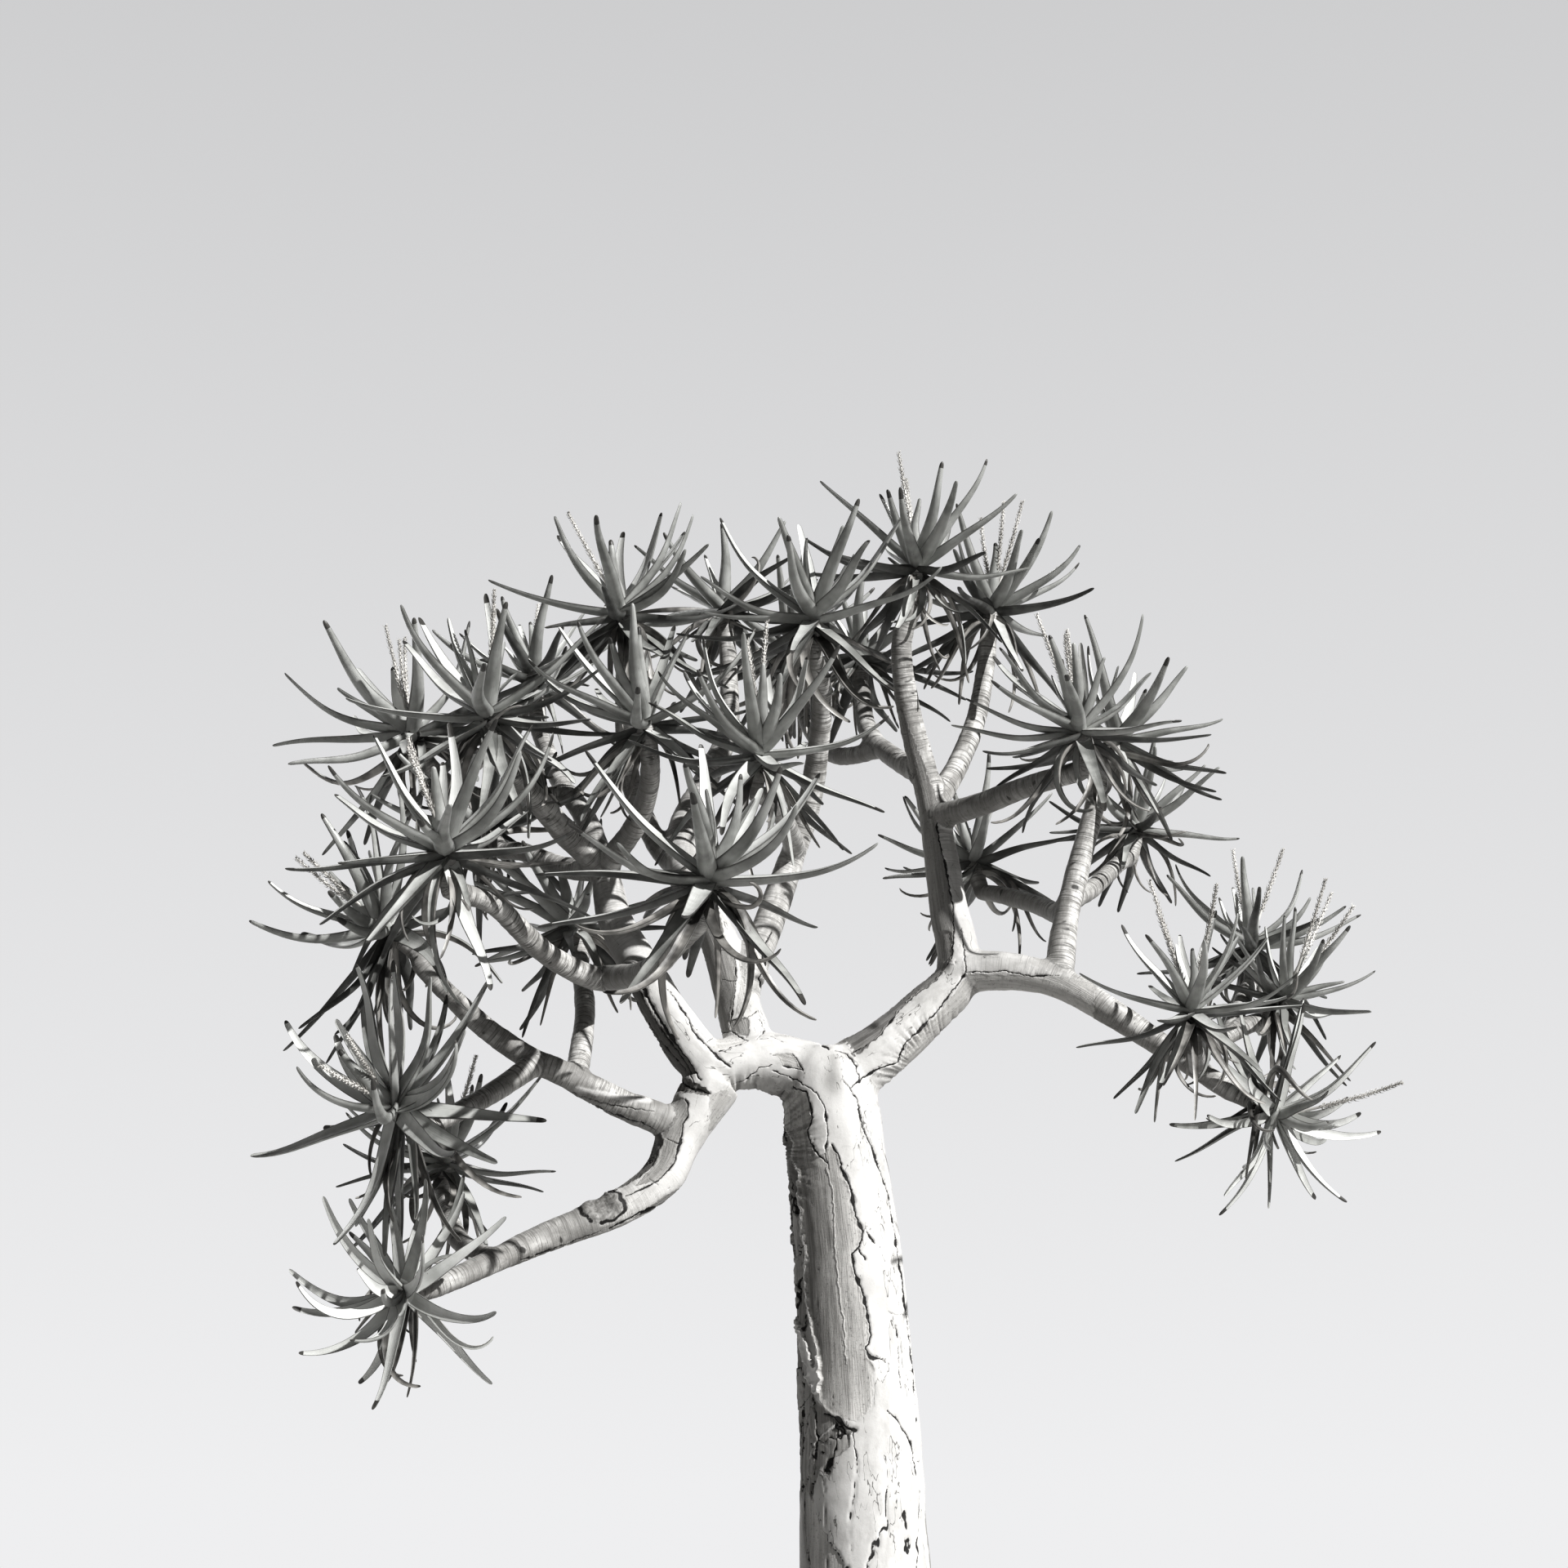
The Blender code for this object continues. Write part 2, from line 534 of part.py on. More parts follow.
def leaves_of(rng, base, frame, longest, curl_up, own_limb, others):
    """The line, the direction across and the rooms of each leaf of a rosette that finds a free place."""
    leaves = []
    rooms = [leaf_half_width(step / LEAF_STEPS, longest) + LEAF_ROOM for step in range(LEAF_STEPS + 1)]
    flat_rooms = [room * LEAF_THICKNESS_SHARE for room in rooms[LEAF_FREE_FROM:]]
    for number in range(LEAVES):
        plan = plan_leaf(rng, number, longest, curl_up)
        for attempt in range(TRIES):
            path, across = grow_leaf(plan, base, frame, attempt)
            if is_free(path, rooms, others) and is_free(path[LEAF_FREE_FROM:], flat_rooms, own_limb):
                leaves.append((path, across, rooms))
                break
    return leaves


def stalks_of(rng, base, frame, count, others):
    """The line of each dry flower stalk of a rosette that finds a free place."""
    axis, side, normal = frame
    stalks = []
    for _ in range(count):
        for _ in range(TRIES):
            turn = rng.uniform(0, 2 * math.pi)
            outward = side * math.cos(turn) + normal * math.sin(turn)
            heading = axis + outward * rng.uniform(0.25, 0.5) + UP * 0.25
            root = base + axis * CORE_LENGTH * TOP_LEAF_HEIGHT
            path = leaf_path(root, heading, STALK_LENGTH * rng.uniform(0.9, 1.2), 0.15, 0.1)
            rooms = [STALK_RADIUS + LEAF_ROOM] * len(path)
            if is_free(path, rooms, others):
                stalks.append((path, rooms))
                break
    return stalks


def core_mesh(base, axis, radius):
    """The stem's leafy tip: it meets its limb, swells where the leaves clasp it and closes above them."""
    start = base + axis * CLEAR
    path = [start + axis * CORE_LENGTH * share for share, _ in CORE_PROFILE]
    return tube(path, [radius * scale for _, scale in CORE_PROFILE], CORE_SIDES)


def limbs_and_cores():
    """The room that limbs and cores take, and each limb's tip with its radius."""
    space, tips = Space(), {}
    for limb in LIMBS:
        name, _, _, radius_at_start, radius_at_tip = limb
        path = limb_path(limb, FINE_SPACING)
        radii = limb_radii(path, radius_at_start, radius_at_tip)
        space.add(path, [radius + LEAF_ROOM for radius in radii], name)
        tips[name] = (path[-1], radius_at_tip)
    for name, axis, *_ in ROSETTES:
        base, radius = tips[name]
        core = [base + Vector(axis).normalized() * CORE_LENGTH * share for share, _ in CORE_PROFILE]
        space.add(core, [radius * CORE_PROFILE[1][1] + LEAF_ROOM] * len(core), "rosette_" + name)
    return space, tips


def build_rosettes():
    """Each rosette is one solid: its core with its leaves and stalks, clear of all that grew before it."""
    space, tips = limbs_and_cores()
    for index, (limb_name, axis, phase, longest, curl_up) in enumerate(ROSETTES):
        name = "rosette_" + limb_name
        rng = random.Random(SEED + index)
        base, radius = tips[limb_name]
        frame = rosette_frame(axis, phase)
        others = space.without((name, limb_name))
        leaves = leaves_of(rng, base, frame, longest, curl_up, space.only(limb_name), others)
        stalks = stalks_of(rng, base, frame, STALKS.get(limb_name, 0), others)
        parts = helper_collection(name + "_parts")
        for number, (path, across, rooms) in enumerate(leaves):
            new_object(f"{name}_leaf_{number}", leaf_mesh(path, across, longest), "leaf", parts)
            space.add(path, rooms, name)
        for number, (path, rooms) in enumerate(stalks):
            joints = path[::STALK_SEGMENT_STEPS]
            new_object(f"{name}_stalk_{number}", tube(joints, [STALK_RADIUS] * len(joints), 3), "leaf", parts)
            space.add(path, rooms, name)
        rosette = new_object(name, core_mesh(base, frame[0], radius), "leaf")
        apply_boolean(rosette, parts, "UNION")
        shade(rosette)


def main():
    clear_scene()
    build_trunk()
    build_limbs()
    build_rosettes()


main()
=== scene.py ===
import math
import random
from contextlib import contextmanager

import bmesh
import bpy
import numpy as np
from mathutils import Matrix, Vector


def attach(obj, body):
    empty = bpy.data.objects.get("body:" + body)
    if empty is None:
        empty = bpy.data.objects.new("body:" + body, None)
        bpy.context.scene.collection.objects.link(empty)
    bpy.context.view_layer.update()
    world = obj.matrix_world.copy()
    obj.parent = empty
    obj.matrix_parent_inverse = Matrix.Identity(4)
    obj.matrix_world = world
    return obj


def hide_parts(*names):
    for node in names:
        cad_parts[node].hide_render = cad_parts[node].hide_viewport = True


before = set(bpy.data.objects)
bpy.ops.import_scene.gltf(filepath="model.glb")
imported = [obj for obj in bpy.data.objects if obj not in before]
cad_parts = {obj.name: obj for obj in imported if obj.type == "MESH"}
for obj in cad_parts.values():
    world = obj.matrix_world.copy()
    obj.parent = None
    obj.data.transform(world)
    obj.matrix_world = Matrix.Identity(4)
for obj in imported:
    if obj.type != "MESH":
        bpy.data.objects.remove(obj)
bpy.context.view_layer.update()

UP = Vector((0, 0, 1))
SEED = 41

# The viewpoint: the photograph's, worked out from the size of the leaves
CAMERA_PLACE = (-0.185, -7.2, 0.75)
CAMERA_PITCH = math.radians(12)
LENS = 76
SENSOR = 36
PHOTO_SIDE = 1920

# Trunk and limbs, as in the part's source
TRUNK_AXIS = [(0.0, 0.0, 0.0), (-0.005, 0.0, 0.4), (-0.022, 0.0, 0.85), (-0.046, 0.0, 1.23),
              (-0.078, 0.0, 1.51), (-0.1, 0.0, 1.7)]
TRUNK_RADIUS_AT_FORK = 0.105
TRUNK_TAPER = 0.034
ROOT_FLARE = 0.075
ROOT_FLARE_HEIGHT = 0.13
ROOT_LOBES = 5
ROOT_LOBE_DEPTH = 0.022
FORK_HEIGHT = 1.6
TRUNK_TOP = 1.69
DOME_DROP = 0.62
# Each limb: places on its middle line, and its radius at the start and at the tip
LIMBS = [
    ("bough_left", [(-0.1, 0.0, 1.62), (-0.23, -0.02, 1.66), (-0.35, -0.05, 1.65), (-0.42, -0.05, 1.73),
        (-0.49, -0.02, 1.85), (-0.56, 0.03, 1.98), (-0.59, 0.07, 2.1), (-0.67, 0.0, 2.17),
        (-0.74, -0.1, 2.24), (-0.82, -0.25, 2.35)], 0.068, 0.021),
    ("bough_low_left", [(-0.34, -0.05, 1.61), (-0.41, -0.08, 1.485), (-0.445, -0.11, 1.4),
        (-0.535, -0.15, 1.33), (-0.695, -0.2, 1.26), (-0.79, -0.27, 1.21), (-0.88, -0.35, 1.16),
        (-0.94, -0.42, 1.14)], 0.056, 0.021),
    ("branch_low_left_upright", [(-0.79, -0.26, 1.21), (-0.87, -0.18, 1.26), (-0.91, -0.1, 1.35),
        (-0.92, -0.05, 1.41)], 0.023, 0.019),
    ("bough_far_left", [(-0.39, -0.07, 1.5), (-0.465, -0.1, 1.53), (-0.535, -0.12, 1.555),
        (-0.655, -0.15, 1.615), (-0.725, -0.16, 1.645), (-0.81, -0.18, 1.7), (-0.88, -0.2, 1.76),
        (-0.96, -0.22, 1.84), (-1.01, -0.22, 1.9)], 0.036, 0.02),
    ("branch_far_left_low", [(-0.71, -0.16, 1.64), (-0.8, -0.26, 1.56), (-0.88, -0.36, 1.5),
        (-0.96, -0.44, 1.5)], 0.025, 0.02),
    ("branch_far_left_upright", [(-0.63, -0.14, 1.6), (-0.62, -0.02, 1.76), (-0.64, 0.12, 1.89),
        (-0.66, 0.22, 1.97)], 0.025, 0.02),
    ("branch_front_left", [(-0.5, -0.02, 1.86), (-0.57, -0.2, 1.81), (-0.68, -0.36, 1.84),
        (-0.78, -0.5, 1.92), (-0.87, -0.58, 1.99)], 0.03, 0.021),
    ("branch_front_middle", [(-0.57, -0.19, 1.815), (-0.47, -0.39, 1.8), (-0.39, -0.57, 1.84),
        (-0.34, -0.7, 1.91)], 0.027, 0.022),
    ("branch_left_inner", [(-0.59, 0.07, 2.1), (-0.68, 0.15, 2.12), (-0.78, 0.23, 2.17),
        (-0.86, 0.3, 2.22)], 0.028, 0.02),
    ("branch_back_left", [(-0.58, 0.06, 2.08), (-0.64, 0.24, 2.25), (-0.71, 0.4, 2.37), (-0.77, 0.54, 2.52),
        (-0.79, 0.6, 2.64)], 0.03, 0.02),
    ("branch_back_far_left", [(-0.69, 0.35, 2.33), (-0.83, 0.38, 2.32), (-0.95, 0.39, 2.35),
        (-1.04, 0.36, 2.45)], 0.024, 0.02),
    ("branch_left_top", [(-0.58, 0.06, 2.11), (-0.51, -0.05, 2.18), (-0.48, -0.15, 2.24),
        (-0.48, -0.26, 2.33)], 0.027, 0.021),
    ("bough_centre", [(-0.25, -0.02, 1.66), (-0.29, 0.03, 1.8), (-0.33, 0.08, 1.94), (-0.4, 0.14, 2.07),
        (-0.42, 0.26, 2.22), (-0.37, 0.4, 2.37), (-0.32, 0.52, 2.52), (-0.32, 0.62, 2.7),
        (-0.33, 0.66, 2.83)], 0.052, 0.021),
    ("branch_top_left", [(-0.405, 0.16, 2.1), (-0.48, 0.25, 2.2), (-0.54, 0.24, 2.35), (-0.55, 0.15, 2.52),
        (-0.55, 0.06, 2.66)], 0.028, 0.021),
    ("bough_centre_right", [(-0.29, 0.02, 1.77), (-0.255, 0.06, 1.89), (-0.22, 0.1, 1.98),
        (-0.175, 0.15, 2.12), (-0.13, 0.15, 2.26), (-0.11, 0.1, 2.37), (-0.1, 0.0, 2.49),
        (-0.12, -0.12, 2.6)], 0.04, 0.021),
    ("branch_front_centre", [(-0.16, 0.15, 2.16), (-0.18, -0.05, 2.18), (-0.22, -0.27, 2.19),
        (-0.24, -0.4, 2.23)], 0.024, 0.019),
    ("bough_right", [(-0.08, 0.0, 1.61), (0.035, 0.0, 1.69), (0.135, 0.02, 1.78), (0.2, 0.03, 1.86),
        (0.18, 0.05, 2.01), (0.16, 0.08, 2.17), (0.145, 0.1, 2.27), (0.1, 0.08, 2.45), (0.08, 0.05, 2.61),
        (0.115, 0.03, 2.76)], 0.067, 0.021),
    ("branch_right_top", [(0.15, 0.09, 2.25), (0.21, 0.18, 2.36), (0.26, 0.25, 2.49), (0.285, 0.3, 2.62),
        (0.3, 0.32, 2.74)], 0.028, 0.021),
    ("branch_right_front", [(0.155, 0.085, 2.22), (0.25, -0.02, 2.23), (0.36, -0.14, 2.25),
        (0.46, -0.23, 2.32)], 0.028, 0.022),
    ("branch_back_centre", [(0.13, 0.09, 2.32), (0.05, 0.25, 2.41), (0.01, 0.36, 2.49), (0.0, 0.48, 2.61),
        (0.0, 0.54, 2.68)], 0.027, 0.02),
    ("branch_back", [(0.04, 0.27, 2.42), (-0.06, 0.43, 2.44), (-0.12, 0.56, 2.53), (-0.15, 0.69, 2.67),
        (-0.16, 0.74, 2.75)], 0.022, 0.019),
    ("bough_far_right", [(0.19, 0.03, 1.86), (0.31, 0.0, 1.86), (0.42, -0.02, 1.83), (0.53, -0.05, 1.76),
        (0.64, -0.08, 1.68), (0.76, -0.12, 1.59), (0.84, -0.15, 1.545)], 0.046, 0.021),
    ("branch_right_upright", [(0.415, -0.02, 1.83), (0.44, 0.05, 1.98), (0.49, 0.12, 2.16),
        (0.54, 0.17, 2.33), (0.565, 0.17, 2.39)], 0.033, 0.022),
    ("branch_back_right_inner", [(0.44, 0.06, 1.99), (0.39, 0.19, 2.04), (0.31, 0.33, 2.09),
        (0.265, 0.43, 2.16)], 0.024, 0.019),
    ("branch_back_right", [(0.45, 0.07, 2.03), (0.52, 0.25, 2.09), (0.6, 0.42, 2.18),
        (0.65, 0.53, 2.26)], 0.024, 0.019),
    ("branch_far_right_front", [(0.71, -0.1, 1.63), (0.685, -0.23, 1.65),
        (0.67, -0.31, 1.7)], 0.021, 0.018),
    ("branch_far_right_end", [(0.66, -0.09, 1.66), (0.77, 0.02, 1.71), (0.86, 0.08, 1.76),
        (0.91, 0.1, 1.79)], 0.025, 0.02),
    ("branch_far_right_upright", [(0.79, 0.035, 1.72), (0.85, 0.18, 1.83),
        (0.88, 0.26, 1.93)], 0.021, 0.018),
]
LIMB_TAPER_POWER = 1.3
LIMB_TIP_LENGTH = 0.03
ROSETTE_DEPTH = 0.055

# Rosettes, as in the part's source: limb, the way the middle points, first turn, longest leaf, extra curl,
# flower stalks, and the stalks that the source has no room for among its solids
ROSETTES = [
    ("branch_front_middle", (0.15, -0.35, 1.0), 20, 0.37, 0.0, 0, 0),
    ("branch_front_left", (-0.1, -0.3, 1.0), 75, 0.35, 0.0, 1, 1),
    ("branch_far_right_front", (-0.1, -0.3, 1.0), 130, 0.27, 0.0, 2, 1),
    ("bough_centre_right", (0.0, -0.2, 1.0), 10, 0.33, 0.0, 0, 0),
    ("bough_left", (-0.12, -0.3, 1.0), 200, 0.34, 0.0, 1, 1),
    ("branch_front_centre", (0.15, -0.3, 1.0), 310, 0.32, 0.0, 1, 2),
    ("bough_low_left", (-0.45, -0.85, -0.1), 250, 0.27, 0.7, 0, 0),
    ("branch_far_left_low", (-0.6, -0.6, 0.35), 95, 0.34, 0.5, 2, 0),
    ("bough_far_right", (0.65, -0.4, -0.4), 160, 0.27, 0.4, 1, 0),
    ("bough_right", (0.1, -0.05, 1.0), 45, 0.3, 0.1, 1, 1),
    ("branch_left_top", (-0.15, -0.25, 1.0), 280, 0.32, 0.0, 0, 0),
    ("branch_right_front", (-0.2, -0.25, 1.0), 330, 0.3, 0.0, 1, 2),
    ("branch_top_left", (-0.2, -0.15, 1.0), 115, 0.33, 0.1, 0, 1),
    ("bough_far_left", (-0.75, -0.15, 0.6), 60, 0.34, 0.0, 2, 0),
    ("branch_right_upright", (0.4, 0.1, 1.0), 220, 0.3, 0.0, 0, 0),
    ("branch_far_right_end", (0.6, 0.05, 0.75), 350, 0.24, 0.0, 1, 2),
    ("branch_low_left_upright", (0.15, -0.2, 1.0), 5, 0.28, 0.1, 0, 1),
    ("branch_far_right_upright", (0.05, 0.25, 1.0), 150, 0.27, 0.0, 0, 2),
    ("branch_right_top", (0.15, 0.2, 1.0), 85, 0.29, 0.1, 2, 1),
    ("branch_back_far_left", (-0.45, 0.05, 0.85), 240, 0.37, -0.1, 2, 1),
    ("branch_back_right", (0.25, 0.3, 1.0), 30, 0.25, 0.0, 0, 0),
    ("branch_back_right_inner", (-0.25, 0.3, 1.0), 300, 0.27, 0.0, 0, 2),
    ("bough_centre", (-0.1, 0.25, 1.0), 180, 0.3, 0.0, 0, 0),
    ("branch_back_left", (-0.15, 0.3, 1.0), 140, 0.3, 0.0, 0, 1),
    ("branch_back_centre", (0.05, 0.25, 1.0), 260, 0.28, 0.0, 0, 0),
    ("branch_back", (-0.15, 0.5, 1.0), 70, 0.29, 0.0, 0, 0),
    ("branch_left_inner", (-0.5, 0.45, 0.7), 190, 0.29, 0.0, 0, 0),
    ("branch_far_left_upright", (-0.3, 0.25, 0.9), 325, 0.29, -0.2, 0, 0),
]
LEAVES = 17
GOLDEN_ANGLE = math.radians(137.508)
INNER_POLAR, OUTER_POLAR = math.radians(9), math.radians(128)
POLAR_POWER = 0.75
LEAF_WIDTH_SHARE = 0.13
LEAF_THICKNESS_SHARE = 0.36
LEAF_ROOT_WIDTH = 0.78
LEAF_WIDEST = 0.2
LEAF_TAPER_POWER = 0.72
INNER_LENGTH = 0.5
GROWN_AGE = 0.22
LEAF_LIFT = 0.42
DROOP_AGE = 0.74
LEAF_ROOT_OFFSET = 0.004
LEAF_STEPS = 24
LEAF_FREE_FROM = 3
LEAF_ROOM = 0.004
TRIES = 14
SHRINK_TO_FIT = 0.3
FINE_SPACING = 0.012
CORE_LENGTH = 0.076
CORE_PROFILE = ((0.0, 1.0), (0.35, 1.45), (0.75, 1.3), (1.0, 0.55))
TOP_LEAF_HEIGHT, LOW_LEAF_HEIGHT = 0.92, 0.5
STALK_LENGTH = 0.23
STALK_RADIUS = 0.0035

# The photograph is printed harder than the eye sees
PRINT_GAMMA = 0.82

# The wood's mesh
WOOD_VOXEL = 0.005
WOOD_RING_SPACING = 0.02
WOOD_SIDES = 28
TRUNK_RINGS = 90
TRUNK_STATIONS = 160
TRUNK_SIDES = 72
COLLAR_SWELL = 0.16
COLLAR_REACH = 1.4
LIMB_REACH = 0.08
FORK_REACH = 0.035

# The bark as it shows in the photograph, in its pixels: cracks with their half width in millimetres
CRACKS = {
    "arch": (1.0, [(948, 1312), (975, 1322), (1000, 1338), (1010, 1356), (1013, 1385), (1010, 1413),
        (1015, 1433)]),
    "plate_edge": (2.6, [(971, 1332), (988, 1337), (992, 1352), (995, 1368), (989, 1384), (992, 1400),
        (1002, 1414), (1012, 1424)]),
    "panel_edge": (2.3, [(1018, 1402), (1026, 1413), (1033, 1436), (1043, 1458), (1048, 1490), (1057, 1508),
        (1053, 1525), (1043, 1535), (1046, 1558), (1056, 1580), (1063, 1614), (1067, 1636), (1059, 1652),
        (1067, 1663), (1081, 1664)]),
    "right_edge": (1.9, [(1041, 1332), (1050, 1347), (1057, 1380), (1068, 1405), (1079, 1434), (1088, 1460),
        (1092, 1490), (1099, 1525), (1107, 1582), (1112, 1620), (1118, 1668), (1123, 1745)]),
    "fork": (1.3, [(1022, 1286), (1037, 1290), (1047, 1302), (1051, 1315), (1054, 1324), (1041, 1332)]),
    "fork_spur": (1.0, [(1032, 1321), (1041, 1332)]),
    "right_bough": (1.7, [(1041, 1332), (1070, 1312), (1085, 1306), (1099, 1301), (1109, 1277),
        (1134, 1254), (1157, 1226), (1177, 1200), (1183, 1189), (1180, 1160), (1177, 1137)]),
    "strip_edge": (1.1, [(1042, 1290), (1073, 1273), (1097, 1241), (1117, 1221), (1147, 1200),
        (1166, 1172)]),
    "foot_right": (1.8, [(1086, 1727), (1098, 1738), (1116, 1766), (1124, 1810)]),
    "inset_small": (1.1, [(1061, 1508), (1071, 1523)]),
    "inset_spur": (1.5, [(1050, 1528), (1060, 1542)]),
    "right_line": (0.9, [(1098, 1622), (1100, 1650), (1103, 1700)]),
    "cross_line": (0.8, [(1088, 1605), (1096, 1610), (1112, 1609)]),
    "left_arc": (1.0, [(896, 1328), (915, 1322), (930, 1308), (945, 1304)]),
    "top_edge": (2.6, [(945, 1141), (940, 1150), (934, 1168), (937, 1182), (930, 1198), (934, 1212),
        (938, 1224), (947, 1230), (952, 1241), (966, 1251), (990, 1268), (1015, 1284)]),
    "centre_ridge": (0.9, [(882, 1163), (891, 1161), (900, 1173), (902, 1197), (897, 1230), (891, 1262)]),
    "centre_cross": (0.8, [(884, 1200), (903, 1200)]),
    "centre_spur": (0.9, [(932, 1250), (937, 1261), (926, 1272)]),
    "pocket_top": (1.0, [(891, 1250), (905, 1246), (916, 1245), (927, 1238)]),
    "crotch_plate": (1.2, [(866, 1275), (879, 1267), (895, 1262), (916, 1274), (900, 1280), (881, 1287)]),
    "knot_edge": (1.2, [(970, 1290), (977, 1300), (983, 1311), (960, 1305)]),
    "hook": (1.8, [(840, 1346), (843, 1365), (836, 1376), (834, 1397), (826, 1424), (806, 1446),
        (765, 1465)]),
    "hook_cross": (0.9, [(815, 1394), (834, 1400)]),
    "hook_spur": (0.9, [(795, 1443), (806, 1451)]),
    "hook_top": (2.8, [(826, 1322), (845, 1331), (870, 1339)]),
    "left_bough": (1.7, [(820, 1213), (844, 1247), (849, 1262), (867, 1282), (882, 1297), (894, 1307)]),
    "under_far_right": (1.1, [(1183, 1191), (1230, 1189), (1262, 1196), (1297, 1194)]),
    "foot_top": (3.0, [(1008, 1731), (1020, 1735), (1028, 1740), (1037, 1748), (1047, 1752)]),
    "foot_left": (1.2, [(994, 1704), (978, 1725), (976, 1740)]),
    "foot_line": (1.0, [(992, 1722), (983, 1753), (979, 1790)]),
    "upright": (1.5, [(1150, 988), (1147, 1010), (1151, 1033), (1156, 1052), (1160, 1071), (1165, 1098),
        (1168, 1122), (1167, 1145), (1166, 1174)]),
    "hook_under": (2.4, [(836, 1453), (824, 1469), (804, 1479), (782, 1487), (762, 1497), (747, 1505)]),
    "low_left_under": (1.3, [(735, 1508), (693, 1524), (646, 1541), (612, 1550)]),
    "strip_low": (1.2, [(700, 1337), (730, 1349), (765, 1356), (800, 1361)]),
    "far_left_under": (1.6, [(712, 1347), (750, 1364), (790, 1377), (803, 1384)]),
    "strip_deep": (3.2, [(786, 1206), (800, 1236), (817, 1264), (836, 1290), (858, 1322)]),
    "strip_middle": (1.8, [(772, 1196), (792, 1232), (812, 1268), (838, 1302), (850, 1326)]),
    "strip_inner": (1.4, [(762, 1204), (782, 1240), (808, 1278), (838, 1312)]),
    "foot_low": (1.0, [(1044, 1750), (1050, 1800), (1040, 1860), (1046, 1930), (1035, 2010)]),
}
# The panel's left border
PANEL_LEFT = [(962, 1383), (972, 1398), (969, 1418), (978, 1437), (976, 1463), (980, 1487), (980, 1510),
    (986, 1533), (984, 1560), (986, 1593)]
